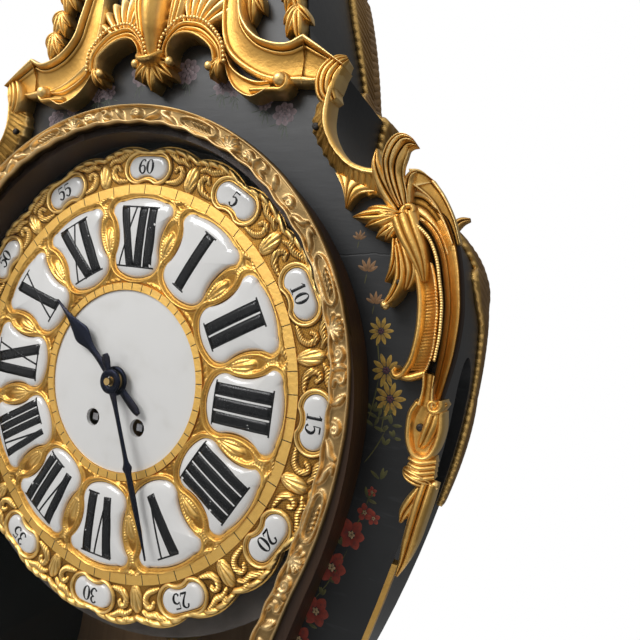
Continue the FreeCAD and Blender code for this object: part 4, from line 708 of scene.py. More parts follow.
@dataclass(frozen=True)
class Gilding:
    """Fire gilt bronze with a fine cast grain; on carved pieces the colour follows the relief, a painted
    shade that turns hollows brown and a painted highlight that makes crests pale.
    """

    name: str
    bright: Colour = (0.95, 0.67, 0.275)
    warm: Colour = (0.71, 0.415, 0.11)
    dull: Colour = (0.30, 0.145, 0.025)
    deep: Colour = (0.04, 0.017, 0.005)
    polish: float = 0.38
    carved: bool = True

    def build(self) -> Material:
        """Makes the material; carved pieces read their own relief."""
        kit = FinishKit(self.name)
        cloud, grain = kit.noise(45.0), kit.noise(420.0, 4.0, 0.7)
        level = cloud * 0.3 + 0.42
        if self.carved:
            relief = kit.add("ShaderNodeAttribute", {"attribute_name": "relief"}, output="Fac")
            # the relief paints shade into hollows (deep, dull) and highlight onto crests (warm, bright)
            level = relief + cloud * 0.36 - 0.18
        colour = kit.ramp(level, (0.1, self.deep), (0.34, self.dull), (0.56, self.warm), (0.94, self.bright))
        rough = self.polish + 0.2 * (1 - level.eased(0.1, 0.6)) + 0.1 * cloud
        return kit.dress(base_color=colour, metallic=1.0, roughness=rough,
                         normal=kit.bump(grain, 0.45, 0.0006))


@dataclass(frozen=True)
class Lacquer:
    """Black lacquer with a soft slate sheen and fine scratches, and on the front a shrinkage crack."""

    name: str
    base: Colour = (0.0065, 0.007, 0.0075)
    haze: Colour = (0.026, 0.0275, 0.030)
    cracked: bool = False

    def build(self) -> Material:
        """Makes the material."""
        kit = FinishKit(self.name)
        cloud = kit.noise(14.0, 4.0)
        scratch = kit.noise(260.0, 3.0, 0.7, (0.16, 1.0, 1.0))
        worn = 0.7 * cloud.eased(0.4, 0.8) + 0.5 * scratch.eased(0.58, 0.72)
        colour = kit.blend(worn, (*self.base, 1), (*self.haze, 1))
        height = scratch
        if self.cracked:
            right = kit.add("ShaderNodeSeparateXYZ", inputs={0: kit.place})
            up = right.beside(2)
            wander = kit.noise(70.0, 3.0, stretch=(1.0, 0.0, 0.0))
            off = abs(up - 0.3415 - 0.083 * right - 0.004 * (wander - 0.5))
            line = 1 - off.eased(0.00014, 0.00045)
            line = line * right.eased(0.1, 0.104) * (1 - right.eased(0.134, 0.137))
            colour = kit.blend(line, colour, (0.0015, 0.0015, 0.0015, 1))
            height = scratch - line * 4.0
        return kit.dress(base_color=colour, roughness=0.33 + 0.14 * cloud + 0.1 * scratch,
                         specular_ior_level=0.4, coat_weight=0.06, coat_roughness=0.2,
                         normal=kit.bump(height, 0.14, 0.0005))


@dataclass(frozen=True)
class Enamel:
    """White enamel with a faint bloom, slightly wavy under the light."""

    name: str
    base: Colour = (0.82, 0.81, 0.79)
    stain: Colour = (0.73, 0.715, 0.68)

    def build(self) -> Material:
        """Makes the material."""
        kit = FinishKit(self.name)
        cloud, wave = kit.noise(60.0), kit.noise(130.0, 1.0)
        return kit.dress(base_color=kit.blend(cloud.eased(0.5, 0.85), (*self.base, 1), (*self.stain, 1)),
                         roughness=0.1 + 0.1 * cloud, coat_weight=0.5, coat_roughness=0.05,
                         normal=kit.bump(wave, 0.12, 0.001))


@dataclass(frozen=True)
class Metal:
    """Plain worked metal with fine brushed lines and clouded tarnish."""

    name: str
    base: Colour
    tarnish: Colour
    polish: float = 0.28
    lines: Place = (1.0, 0.15, 1.0)

    def build(self) -> Material:
        """Makes the material."""
        kit = FinishKit(self.name)
        cloud, brush = kit.noise(55.0), kit.noise(700.0, 2.0, stretch=self.lines)
        return kit.dress(base_color=kit.blend(cloud.eased(0.45, 0.75), (*self.base, 1), (*self.tarnish, 1)),
                         metallic=1.0, roughness=self.polish + 0.15 * cloud + 0.08 * brush,
                         normal=kit.bump(brush, 0.15, 0.0003))


@dataclass(frozen=True)
class Timber:
    """Wood with a grain that runs up the piece."""

    name: str
    light: Colour
    dark: Colour
    polish: float = 0.4
    run: Place = (1.0, 1.0, 0.07)

    def build(self) -> Material:
        """Makes the material."""
        kit = FinishKit(self.name)
        grain, pore = kit.noise(90.0, 5.0, 0.6, self.run), kit.noise(900.0, 2.0, 0.5, self.run)
        tone = grain * 0.8 + pore * 0.2
        return kit.dress(base_color=kit.ramp(tone, (0.3, self.dark), (0.7, self.light)),
                         specular_ior_level=0.35, roughness=self.polish + 0.2 * pore,
                         normal=kit.bump(pore, 0.2, 0.0006))


@dataclass(frozen=True)
class Plain:
    """A dull even coat with slight clouding: black wax, mask paint or iron."""

    name: str
    base: Colour
    cloud: Colour
    rough: float = 0.5
    metal: float = 0.0

    def build(self) -> Material:
        """Makes the material."""
        kit = FinishKit(self.name)
        cloud, grain = kit.noise(80.0), kit.noise(1400.0, 2.0)
        return kit.dress(base_color=kit.blend(cloud.eased(0.35, 0.75), (*self.base, 1), (*self.cloud, 1)),
                         metallic=self.metal, roughness=self.rough + 0.12 * cloud, specular_ior_level=0.3,
                         normal=kit.bump(grain, 0.15, 0.0003))


@dataclass(frozen=True)
class Glazing:
    """Clear sheet glass: almost all light goes through, with a faint smooth shine."""

    name: str
    cover: float = 0.03

    def build(self) -> Material:
        """Makes the material."""
        kit = FinishKit(self.name)
        ripple = kit.noise(25.0, 1.0)
        return kit.dress(base_color=(0.05, 0.06, 0.058, 1.0), roughness=0.03, alpha=self.cover,
                         normal=kit.bump(ripple, 0.03, 0.001))


@dataclass(frozen=True)
class Brushwork:
    """Painted flowers in their own colours, with streaks of the brush."""

    name: str

    def build(self) -> Material:
        """Makes the material from the colour stored at each point."""
        kit = FinishKit(self.name)
        paint = kit.add("ShaderNodeAttribute", {"attribute_name": "paint"}, output="Color")
        streak = kit.noise(600.0, 3.0)
        return kit.dress(base_color=kit.blend(0.55 * streak.eased(0.42, 0.75), paint,
                                              (0.03, 0.027, 0.026, 1)),
                         roughness=0.5 + 0.15 * streak, specular_ior_level=0.3,
                         normal=kit.bump(streak, 0.2, 0.0004))


class Finishes:
    """All finishes of the clock, and which one each solid takes."""

    def __init__(self) -> None:
        """Builds every finish once."""
        self.carved = Gilding("gilt_carved").build()
        self.smooth = Gilding("gilt_smooth", polish=0.34, carved=False).build()
        # a darker copy of the gilding: painted shade for the carved strips at the case's back edges
        self.shaded = Gilding("gilt_strip_painted_shade", bright=(0.66, 0.42, 0.14), warm=(0.42, 0.23, 0.06),
                              dull=(0.14, 0.07, 0.02), polish=0.42).build()
        self.dial = Gilding("gilt_dial", bright=(0.98, 0.665, 0.235), warm=(0.76, 0.44, 0.105),
                            dull=(0.38, 0.19, 0.034), polish=0.36).build()
        self.pale = Gilding("gilt_bezel", bright=(0.96, 0.74, 0.42), warm=(0.75, 0.53, 0.25),
                            dull=(0.35, 0.235, 0.10), deep=(0.06, 0.038, 0.016), polish=0.42).build()
        self.ring = Gilding("gilt_ring", bright=(0.98, 0.68, 0.23), warm=(0.92, 0.57, 0.15),
                            dull=(0.55, 0.31, 0.07), polish=0.46, carved=False).build()
        self.lacquer = Lacquer("black_lacquer").build()
        self.front = Lacquer("black_lacquer_front", cracked=True).build()
        self.enamel = Enamel("white_enamel").build()
        self.ink = Plain("black_ink", (0.005, 0.005, 0.006), (0.010, 0.010, 0.011), 0.22).build()
        self.blued = Metal("blued_steel_finish", (0.016, 0.018, 0.030), (0.03, 0.026, 0.03), 0.3).build()
        self.brass = Metal("movement_brass_finish", (0.66, 0.45, 0.18), (0.46, 0.29, 0.11)).build()
        self.steel = Metal("polished_steel_finish", (0.46, 0.46, 0.47), (0.32, 0.31, 0.31), 0.22).build()
        self.bell = Metal("bell_metal_finish", (0.60, 0.47, 0.27), (0.42, 0.31, 0.17), 0.26).build()
        self.iron = Plain("wrought_iron_finish", (0.03, 0.027, 0.025), (0.06, 0.045, 0.035), 0.5, 0.7).build()
        self.door_wood = Timber("door_wood", (0.050, 0.023, 0.009), (0.018, 0.008, 0.004), 0.36).build()
        self.case_wood = Timber("case_wood", (0.34, 0.21, 0.11), (0.20, 0.115, 0.055), 0.5).build()
        self.mask = Plain("mask_paint", (0.085, 0.071, 0.061), (0.125, 0.106, 0.091), 0.5).build()
        self.glass = Glazing("clear_glass_finish").build()
        self.brush = Brushwork("painted_flowers").build()

    def for_slot(self) -> Dict[str, Material]:
        """The finish of each of the record's slots."""
        return {"lacquered_wood": self.lacquer, "plain_wood": self.case_wood, "mask_board": self.mask,
                "gilt_bronze": self.smooth, "enamel": self.enamel, "clear_glass": self.glass,
                "blued_steel": self.blued, "hinge_brass": self.brass, "movement_brass": self.brass,
                "polished_steel": self.steel, "bell_metal": self.bell, "wrought_iron": self.iron}

    def dress_solids(self) -> None:
        """Gives every solid the finish of its slot, and the front, the door and the dial plate their own."""
        by_slot = self.for_slot()
        own = {"case_front": self.front, "door_frame": self.door_wood, "dial_plate": self.ring}
        for node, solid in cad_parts.items():
            slot = solid.data.materials[0].name
            solid.data.materials.clear()
            solid.data.materials.append(own.get(node, by_slot[slot]))
            LOG.info("%s: %s", node, solid.data.materials[0].name)


def closed_outline(side: Array, low: float, high: float, count: int = 40) -> Array:
    """A closed outline from its right side, given upwards, and its heights on the centre line.

    Args:
        side: Points of the right side from bottom to top, both ends included.
        low: Height of the bottom edge's middle.
        high: Height of the top edge's middle.
        count: Points of the bottom and the top edge.

    Returns:
        Points once round, against the clock.
    """
    flip = np.array([-1.0, 1.0])
    top = arc_through(side[-1], (0, high), side[-1] * flip, count)
    bottom = arc_through(side[0] * flip, (0, low), side[0], count)
    return np.vstack([side[:-1], top, (side * flip)[::-1][:-1], bottom])


def hour_outline(low: float = 52.0, high: float = 92.6, foot: float = 13.8, waist: float = 12.9,
                 head: float = 19.0, count: int = 24) -> Array:
    """The twelve o'clock plaque: round foot, drawn waist and eared head, in circular arcs.

    Args:
        low: Distance of its foot from the dial's centre.
        high: Distance of its head.
        foot: Half width at the foot.
        waist: Half width at the waist.
        head: Half width at the ears.
        count: Points of each arc.

    Returns:
        Points once round.
    """
    length = high - low
    hip, ear = low + 0.25 * length, high - 0.2 * length
    toe, brow = (foot * 0.7, low + 0.055 * length), (head - 0.12 * length, high - 0.06 * length)
    side = np.vstack([arc_through(toe, (foot * 0.93, low + 0.13 * length), (foot, hip), count),
                      arc_through((foot, hip), (waist, (hip + ear) / 2 - 0.03 * length), (head, ear), count),
                      arc_through((head, ear), (head - 0.025 * length, high - 0.095 * length), brow, count),
                      [brow]])
    return closed_outline(side, low, high)


def minute_outline(mid: float = 107.6, half: float = 5.9, reach: float = 12.2, count: int = 30) -> Array:
    """The kidney plaque at sixty minutes: two round noses joined by arcs that follow the dial.

    Args:
        mid: Distance of its middle from the dial's centre.
        half: Half its height.
        reach: Half its length.
        count: Points of each nose.

    Returns:
        Points once round.
    """
    turn, tip = (reach - half) / mid, reach / mid
    lower, upper = [r * np.array([math.sin(turn), math.cos(turn)]) for r in (mid - half, mid + half)]
    nose = mid * np.array([math.sin(tip), math.cos(tip)])
    side = np.vstack([arc_through(lower, nose, upper, count), upper])
    return closed_outline(side, mid - 0.72 * half, mid + half)


@dataclass
class Dome:
    """An enamel plaque: its outline drawn in to a middle point, crowned, with a rolled edge."""

    outline: Array
    middle: Pair
    foot: float = -1.3
    rise: float = 3.0
    crown: float = 1.1

    def share(self, x: Array, y: Array) -> Array:
        """How far a point lies from the middle, where the outline is 1."""
        off = self.outline - np.array(self.middle)
        angle = np.arctan2(y - self.middle[1], x - self.middle[0])
        edge = np.interp(angle, np.arctan2(off[:, 1], off[:, 0]), np.hypot(off[:, 0], off[:, 1]),
                         period=2 * np.pi)
        return np.hypot(x - self.middle[0], y - self.middle[1]) / edge

    def height(self, share: Array) -> Array:
        """Level of the surface: foot plus a crown that falls with the square of the share and rolls off."""
        s = np.clip(share, 0, 1)
        return self.foot + (self.rise + self.crown * (1 - s ** 2)) * np.sqrt(1 - s ** 14)

    def shell(self, rings: int = 18) -> Shell:
        """The plaque as a closed shell.

        Args:
            rings: Rings from the middle to the edge, closer together towards the edge.

        Returns:
            The shell.
        """
        s = np.sin(np.linspace(0.03, np.pi / 2, rings))[:, None]
        flat = np.array(self.middle) + (self.outline - np.array(self.middle))[None] * s[..., None]
        level = np.broadcast_to(self.height(s), flat.shape[:2])
        return tube(np.concatenate([flat, level[..., None]], -1), EVEN)

    def ink(self, line: Rows, count: int = 14, lift: float = 0.06) -> Shell:
        """A painted stroke that lies on the plaque.

        Args:
            line: Rows of right, up and half width.
            count: Points along the stroke.
            lift: Thickness of the paint.

        Returns:
            The stroke as a closed shell.
        """
        rows = np.asarray(line, float)
        rows = spline(np.column_stack([rows[:, :2], np.zeros(len(rows)), rows[:, 2]]), count)
        side = path_frames(rows[:, :3])[0]
        v = np.array([-1.0, -0.33, 0.33, 1.0, 1.0, -1.0])[None, :]
        flat = rows[:, None, :2] + side[:, None, :2] * (rows[:, 3:4] * v)[..., None]
        level = self.height(self.share(flat[..., 0], flat[..., 1])) + np.array([lift] * 4 + [-SUNK] * 2)
        return tube(np.concatenate([flat, level[..., None]], -1), EVEN)


def ridge_field(x: Array, y: Array, lines: Sequence[Array]) -> Array:
    """Height of rounded ridges along drawn lines.

    Each line is sampled; at a point the ridge is the greatest, over the samples, of the sample's height
    times the square root of 1 less the squared share of its half width.

    Args:
        x: Right, any shape.
        y: Up, the same shape.
        lines: Rows of right, up, half width and height for each line.

    Returns:
        Heights in the same shape.
    """
    best = np.zeros(x.size)
    for line in lines:
        flat = spline(np.column_stack([line[:, :2], np.zeros(len(line)), line[:, 2:]]), 70)
        apart = (x.ravel()[:, None] - flat[None, :, 0]) ** 2 + (y.ravel()[:, None] - flat[None, :, 1]) ** 2
        ridge = flat[None, :, 4] * arch(apart / flat[None, :, 3] ** 2)
        best = np.maximum(best, ridge.max(1))
    return best.reshape(x.shape)


def mirror_lines(lines: Sequence[Array]) -> List[Array]:
    """Drawn lines and their mirror images."""
    return list(lines) + [line * np.array([-1.0, 1.0, 1.0, 1.0]) for line in lines]


def edge_distance(x: Array, y: Array, dome: Dome) -> Array:
    """Distance to a plaque's outline, negative inside it.

    Args:
        x: Right, any shape.
        y: Up, the same shape.
        dome: The plaque.

    Returns:
        Distances in the same shape.
    """
    apart = np.hypot(x.ravel()[:, None] - dome.outline[None, :, 0],
                     y.ravel()[:, None] - dome.outline[None, :, 1])
    return np.where(dome.share(x, y) < 1, -1.0, 1.0) * apart.min(1).reshape(x.shape)


def roll(distance: Array, middle: float, half: float, height: float) -> Array:
    """A half round bead at a distance from an edge."""
    return height * arch(((distance - middle) / half) ** 2)


ROMAN = ("XII", "I", "II", "III", "IIII", "V", "VI", "VII", "VIII", "IX", "X", "XI")
DIGITS: Dict[str, List[List[Place]]] = {
    "1": [[(0.1, -2.9, 0.6), (0.1, 3.1, 0.6)], [(-1.2, 2.0, 0.16), (0.1, 3.0, 0.3)],
          [(-1.2, -3.0, 0.2), (1.4, -3.0, 0.2)]],
    "2": [[(-1.3, 1.6, 0.5), (-1.0, 2.7, 0.35), (0.1, 3.1, 0.32), (1.2, 2.4, 0.55), (1.2, 1.2, 0.6),
           (0.1, -0.8, 0.4), (-1.4, -2.7, 0.25)], [(-1.5, -2.7, 0.32), (0.2, -2.6, 0.5), (1.6, -2.7, 0.35)],
          [(1.5, -2.7, 0.25), (1.75, -1.6, 0.15)]],
    "3": [[(-1.3, 2.1, 0.5), (-0.6, 3.0, 0.3), (0.4, 3.0, 0.4), (1.2, 1.9, 0.6), (0.8, 0.7, 0.4),
           (-0.3, 0.2, 0.2)], [(-0.3, 0.2, 0.2), (1.0, -0.2, 0.4), (1.4, -1.5, 0.65), (0.7, -2.8, 0.4),
                               (-0.5, -3.0, 0.3), (-1.4, -2.2, 0.5)]],
    "4": [[(0.6, -2.9, 0.58), (0.6, 3.1, 0.58)], [(0.5, 3.1, 0.2), (-1.9, -1.2, 0.2)],
          [(-1.9, -1.3, 0.26), (1.8, -1.3, 0.26)], [(-0.5, -3.0, 0.2), (1.7, -3.0, 0.2)]],
    "5": [[(-1.0, 2.8, 0.32), (1.4, 2.7, 0.36)], [(-1.0, 2.9, 0.18), (-1.2, 0.2, 0.18)],
          [(-1.2, 0.2, 0.2), (0.0, 0.8, 0.35), (1.3, 0.0, 0.6), (1.4, -1.4, 0.65), (0.5, -2.8, 0.4),
           (-0.6, -3.0, 0.3), (-1.4, -2.1, 0.5)]],
    "6": [[(1.2, 2.2, 0.45), (0.6, 3.0, 0.3), (-0.7, 2.3, 0.45), (-1.5, 0.0, 0.65), (-1.3, -1.8, 0.6),
           (-0.2, -3.0, 0.35), (0.9, -2.6, 0.42), (1.4, -1.3, 0.6), (1.0, 0.0, 0.4), (0.0, 0.4, 0.25),
           (-1.0, -0.2, 0.2)]],
    "0": [[(1.5 * math.cos(t), 3.0 * math.sin(t), 0.2 + 0.48 * math.cos(t) ** 2)
           for t in np.linspace(0, 2 * math.pi, 25)]],
}


@dataclass
class DialDress:
    """Everything on the cast dial but its hands: chased ground, enamel plaques with numerals, and marks."""

    finishes: Finishes
    inner: Pair = (49.2, 94.3)
    outer: Pair = (98.7, 118.9)
    ring_top: float = 1.0
    scallop_low: float = 115.9
    scallop_rise: float = 2.6
    gap_edge: float = 0.1
    gap_level: float = -0.2
    void_level: float = -0.3
    hour: Dome = field(default_factory=lambda: Dome(hour_outline(), (0.0, 72.0)))
    minute: Dome = field(default_factory=lambda: Dome(minute_outline(), (0.0, 107.6), rise=2.8, crown=0.5))

    def build(self) -> None:
        """Makes the dial's pieces."""
        make_piece("dial_chasing_inner", [self.ground(self.inner, 120, 110, self.inner_level)],
                   self.finishes.dial, GILT)
        make_piece("dial_chasing_outer", [self.ground(self.outer, 60, 140, self.outer_level)],
                   self.finishes.dial, GILT)
        enamel = Seat("case", "enamel")
        make_piece("hour_plaque_domes", [self.hour.shell().turned(SECTOR * k) for k in range(HOURS)],
                   self.finishes.enamel, replace(enamel, nodes=("hour_plaques",)))
        make_piece("minute_plaque_domes", [self.minute.shell(12).turned(SECTOR * k) for k in range(HOURS)],
                   self.finishes.enamel, replace(enamel, nodes=("minute_plaques",)))
        hours = [stroke.turned(SECTOR * k) for k, text in enumerate(ROMAN) for stroke in self.roman(text)]
        minutes = [stroke.turned(SECTOR * k) for k in range(HOURS)
                   for stroke in self.arabic(str(5 * k or 60))]
        make_piece("hour_numerals", hours, self.finishes.ink, enamel)
        make_piece("minute_numerals", minutes, self.finishes.ink, enamel)
        make_piece("minute_marks", self.marks(60, 94.1, 98.9, 0.2) + self.marks(48, 46.1, 49.3, 0.2),
                   self.finishes.ink, GILT)

    def ground(self, span: Pair, rows: int, columns: int,
               level: Callable[[Array, Array, Array], Array]) -> Shell:
        """A chased zone: one sector's heights, repeated twelve times round the dial.

        Args:
            span: Inner and outer radius.
            rows: Grid rows across the zone.
            columns: Grid columns in one sector.
            level: Heights from right, up and radius in the sector at twelve.

        Returns:
            The zone, less what lies under the plaques.
        """
        r = np.linspace(*span, rows)[:, None]
        t = np.radians(SECTOR * (np.arange(columns) / columns - 0.5))[None, :]
        heights = np.tile(level(r * np.sin(t), r * np.cos(t), r + 0 * t), (1, HOURS))
        turn = np.radians(SECTOR * (np.arange(HOURS * columns) / columns - 0.5))[None, :]
        points = np.stack([r * np.sin(turn), r * np.cos(turn), heights], -1)
        # relief: painted shade and highlight, darker in hollows and on the low ground of the gaps round the
        # plaques, lighter on high work
        relief = 0.1 + 0.52 * convexity(points, False, True, 4) + 0.4 * np.clip(heights / 1.6, 0, 1)
        relief = relief * (0.5 + 0.5 * ease(-0.15, 0.4, heights))
        sheet = skin(points, wrap_columns=True, relief=relief)
        kept = (heights.ravel()[sheet.faces[0]] > (self.gap_level + self.void_level) / 2).any(1)
        return facing_out(replace(sheet, faces=[sheet.faces[0][kept]]), False)

    def inner_level(self, x: Array, y: Array, r: Array) -> Array:
        """Heights between the hour plaques: rims in a dark gap, hatched scrolls, husks, shell and cable."""
        apart = edge_distance(x, y, self.hour)
        scroll = np.array([(14.6, 59.5, 0.8, 1.2), (16.0, 64, 1.2, 1.8), (15.6, 68, 1.0, 1.6),
                           (16.6, 77.5, 1.1, 1.7), (18.8, 81.0, 1.3, 2.0), (21.6, 82.6, 1.2, 1.9),
                           (22.6, 85.6, 1.1, 1.8), (20.9, 87.4, 1.0, 1.7), (19.6, 86.0, 0.8, 1.5)])
        husk = np.array([(12.6, 93.0, 0.6, 1.0), (16.2, 91.4, 1.3, 1.8), (19.6, 90.8, 1.4, 2.0),
                         (23.4, 91.0, 1.1, 1.7)])
        hatch = 0.76 + 0.24 * np.cos(2 * np.pi * (r + 0.6 * np.abs(x)) / 1.5)
        ridges = ridge_field(x, y, mirror_lines([scroll, husk])) * hatch
        cable = roll(r, 50.7, 0.9, 0.9) * (0.8 + 0.2 * np.cos(96 * np.arctan2(x, y) + 2.5 * r))
        level = np.maximum.reduce([self.punched(x, y), ridges, cable, self.shell_boss(x, r, 71.5, 7.5, 3.3),
                                   roll(apart, 2.0, 0.9, 1.7)])
        sunk = np.where(apart < self.gap_edge, self.void_level, self.gap_level)
        return np.where(apart < 1.0, sunk, level) * ease(0.0, 0.3, r - self.inner[0])

    def outer_level(self, x: Array, y: Array, r: Array) -> Array:
        """Heights between the minute plaques: rims, hatched leafy scrolls, a shell and a gadrooned edge."""
        apart = edge_distance(x, y, self.minute)
        lower = np.array([(12.6, 100.6, 0.8, 1.2), (15.6, 100.6, 1.4, 1.9), (19.0, 101.0, 1.6, 2.2),
                          (21.6, 103.6, 1.5, 2.2), (21.2, 107.0, 1.4, 2.1), (18.8, 107.6, 1.2, 1.9),
                          (17.6, 106.0, 1.0, 1.7)])
        upper = np.array([(12.4, 114.6, 0.8, 1.2), (15.4, 113.6, 1.5, 1.9), (18.6, 111.4, 1.7, 2.2),
                          (22.4, 110.8, 1.5, 2.0), (25.0, 108.6, 1.0, 1.5)])
        tail = np.array([(20.4, 114.4, 0.8, 1.2), (23.6, 112.8, 1.4, 1.9), (26.4, 112.4, 1.0, 1.5)])
        hatch = 0.74 + 0.26 * np.cos(2 * np.pi * (x + 0.8 * r) / 1.5)
        ridges = ridge_field(x, y, mirror_lines([lower, upper, tail])) * hatch
        lobe = np.degrees(np.arctan2(x, y)) / (SECTOR / 2)
        edge = self.scallop_low + self.scallop_rise * (1 - (2 * (lobe - np.floor(lobe)) - 1) ** 2) - r
        ripple = np.abs(np.sin(np.pi * 4.5 * lobe + 0.5 * r)) ** 0.7
        fringe = roll(edge, 1.5, 1.6, 1.9) * (0.45 + 0.55 * ripple)
        level = np.maximum.reduce([self.punched(x, y), ridges, fringe, self.shell_boss(x, r, 105.5, 7.0, 3.8),
                                   roll(apart, 1.8, 0.85, 1.6)])
        outside = edge < 0.25
        sunk = np.where((apart < self.gap_edge) | outside, self.void_level, self.gap_level)
        return np.where((apart < 0.9) | outside, sunk, level)

    def punched(self, x: Array, y: Array) -> Array:
        """The matted ground: a low product of cosines."""
        return 0.16 + 0.08 * np.cos(4.6 * x + 1.2) * np.cos(4.6 * y)

    def shell_boss(self, x: Array, r: Array, middle: float, reach: float, half: float) -> Array:
        """A fluted shell between two plaques.

        Its swell is the root of 1 less the squared ways along and across; flutes spread from its lower end.

        Args:
            x: Way right of the sector's middle.
            r: Way from the dial's centre.
            middle: Radius of its middle.
            reach: Half its length.
            half: Half its width.

        Returns:
            Heights.
        """
        turn = math.radians(SECTOR / 2) - np.abs(np.arcsin(np.clip(x / r, -1, 1)))
        along, across = r * np.cos(turn) - middle, r * np.sin(turn)
        swell = arch((along / reach) ** 2 + (across / half) ** 2)
        flute = np.abs(np.cos(13.0 * np.arctan2(across, along + 1.15 * reach)))
        return 2.2 * swell * (0.5 + 0.5 * flute ** 0.7)

    def roman(self, text: str) -> List[Shell]:
        """Strokes of a Roman hour: broad and hair lines with long thin serifs.

        Args:
            text: The numeral.

        Returns:
            Its strokes on the twelve o'clock plaque.
        """
        low, high, broad, hair = 57.5, 87.5, 2.85, 0.5
        widths = {"I": 6.6, "V": 12.0, "X": 12.4}
        total = sum(widths[letter] for letter in text)
        scale = min(1.0, 22.5 / total)
        strokes, at = [], -total * scale / 2
        for letter in text:
            wide = widths[letter] * scale
            left, mid, right = at + 0.16 * wide, at + wide / 2, at + 0.84 * wide
            fat, thin = broad * scale, hair
            if letter == "I":
                lines = [[(mid, low, fat), (mid, high, fat)]]
            elif letter == "V":
                lines = [[(left, high, fat), (mid, low + 0.5, fat * 0.8)],
                         [(right, high, thin), (mid + 0.3, low + 0.5, thin)]]
            else:
                lines = [[(left, high, fat), (right, low, fat)], [(right, high, thin), (left, low, thin)]]
            strokes += [self.hour.ink(line) for line in lines]
            ends = (high,) if letter == "V" else (low, high)
            strokes += [self.hour.ink([(at - 0.5, end, 0.4), (at + wide + 0.5, end, 0.4)]) for end in ends]
            at += wide
        return strokes

    def arabic(self, text: str) -> List[Shell]:
        """Strokes of a minute number on the kidney plaque.

        Args:
            text: The number.

        Returns:
            Its strokes at twelve o'clock.
        """
        pitch, rise, size = 4.7, 107.9, np.array([1.15, 1.15, 1.05])
        strokes = []
        for k, digit in enumerate(text):
            shift = np.array([(k - (len(text) - 1) / 2) * pitch, rise, 0.0])
            strokes += [self.minute.ink(np.array(line) * size + shift, 24) for line in DIGITS[digit]]
        return strokes

    def marks(self, count: int, low: float, high: float, half: float) -> List[Shell]:
        """Black wax lines across a raised ring.

        Args:
            count: Lines round the dial.
            low: Inner radius.
            high: Outer radius.
            half: Half width of a line.

        Returns:
            One shell for each line.
        """
        across = half * np.array([-1.0, 1.0, 1.0, -1.0])
        level = self.ring_top + np.array([0.04, 0.04, -0.2, -0.2])
        points = np.stack([np.stack([across, np.full(4, r), level], -1) for r in (low, high)])
        mark = tube(points, EVEN)
        return [mark.turned(360.0 * k / count) for k in range(count)]


def bevelled(u: Array, v: Array) -> Array:
    """A low roof section: two flat slopes that meet on the middle line."""
    return 1 - 0.6 * np.abs(v) + 0 * u


def turned_ring(profile: Sequence[Pair], centre: Pair = (0.0, 0.0), around: int = 48) -> Shell:
    """A closed profile of radius and level, turned round an axis that points out of the dial.

    Args:
        profile: Radius and level at each corner, once round.
        centre: Where the axis stands.
        around: Steps of the turn.

    Returns:
        The ring as a closed shell.
    """
    rows = np.asarray(profile, float)
    turn = np.linspace(0, 2 * np.pi, around, endpoint=False)[None, :]
    points = np.stack([centre[0] + rows[:, :1] * np.cos(turn), centre[1] + rows[:, :1] * np.sin(turn),
                       rows[:, 1:] + 0 * turn], -1)
    return skin(points, wrap_rows=True, wrap_columns=True, relief=TURNED)


@dataclass
class Hands:
    """The two blued hands: bevelled blades with pierced bosses."""

    finishes: Finishes
    minute_angle: float = 156.0
    hour_angle: float = 308.0
    minute_rows: Tuple[Pair, ...] = ((-14.0, 1.6), (-11.0, 2.4), (-5.0, 1.5), (5.0, 2.2), (14, 1.3),
                                     (34, 1.2), (40, 1.6), (43, 3.0), (46, 1.8), (60, 1.6), (86, 0.3))
    hour_rows: Tuple[Pair, ...] = ((-22.0, 1.2), (-18.0, 2.2), (-6.0, 2.0), (6.0, 2.6), (16, 1.8),
                                   (24, 2.4), (32, 5.0), (38, 3.6), (46, 1.6), (58, 0.4))

    def build(self) -> None:
        """Makes both hands at the time that the clock shows."""
        self.hand("minute_hand_blade", self.minute_rows, 7.0, self.minute_angle, "minute")
        self.hand("hour_hand_blade", self.hour_rows, 4.0, self.hour_angle, "hour")

    def hand(self, name: str, rows: Sequence[Pair], level: float, angle: float, body: str) -> None:
        """One hand, drawn at twelve and turned to its place.

        Args:
            name: The piece's name; its node is the name without its last word.
            rows: Distance from the centre and half width.
            level: Level of its back.
            angle: Degrees clockwise from twelve.
            body: The body it rides on.
        """
        bore, rim, crown = (2.6, 6.2, 1.3) if body == "minute" else (5.0, 7.4, 1.2)
        stations = [(0.0, y, level + 0.05, half, 0.95) for y, half in rows]
        ahead = carried([s for s in stations if s[1] >= 5], bevelled, 70, 9, 0.0)
        behind = carried([s for s in stations if s[1] <= -5], bevelled, 24, 9, 0.0)
        boss = turned_ring([(bore, level), (rim, level), (rim, level + 0.7), (rim - 0.7, level + crown),
                            (bore + 0.9, level + crown), (bore, level + 0.9)])
        make_piece(name, [shell.turned(angle) for shell in (ahead, behind, boss)], self.finishes.blued,
                   Seat(body, "blued_steel", (name.rsplit("_", 1)[0],)))


def ruled_band(upper: Rows, lower: Rows, section: Section,
               count: int = 90, across: int = 31, thick: Optional[float] = None) -> Shell:
    """A band between two drawn edges with a moulded section.

    A point is the way v from the upper to the lower edge, lifted by the section's height at (u, v).

    Args:
        upper: Rows of right, up and out.
        lower: Rows of right, up and out.
        section: Height in millimetres as a function of u from 0 to 1 and v from -1 to 1.
        count: Points along the band.
        across: Points across it.
        thick: Thickness of a band that stands free; without it the band stands on the panel.

    Returns:
        The band as a closed shell.
    """
    first, last = spline(upper, count), spline(lower, count)
    u, v = lattice(count, across)
    share = ((v + 1) / 2)[..., None]
    flat = first[:, None, :] * (1 - share) + last[:, None, :] * share
    top, under = flat.copy(), flat[:, ::-1].copy()
    top[..., 2] += section(u, v)
    if thick is None:
        under = under[:, [0, -1]]
        under[..., 2] = PANEL - SUNK
    else:
        under[..., 2] -= thick
    return tube(np.concatenate([top, under], 1))


def ball(centre: Place, radius: float) -> Shell:
    """One smooth ball."""
    return bead_row(np.array([centre], float), radius, 36, 20)


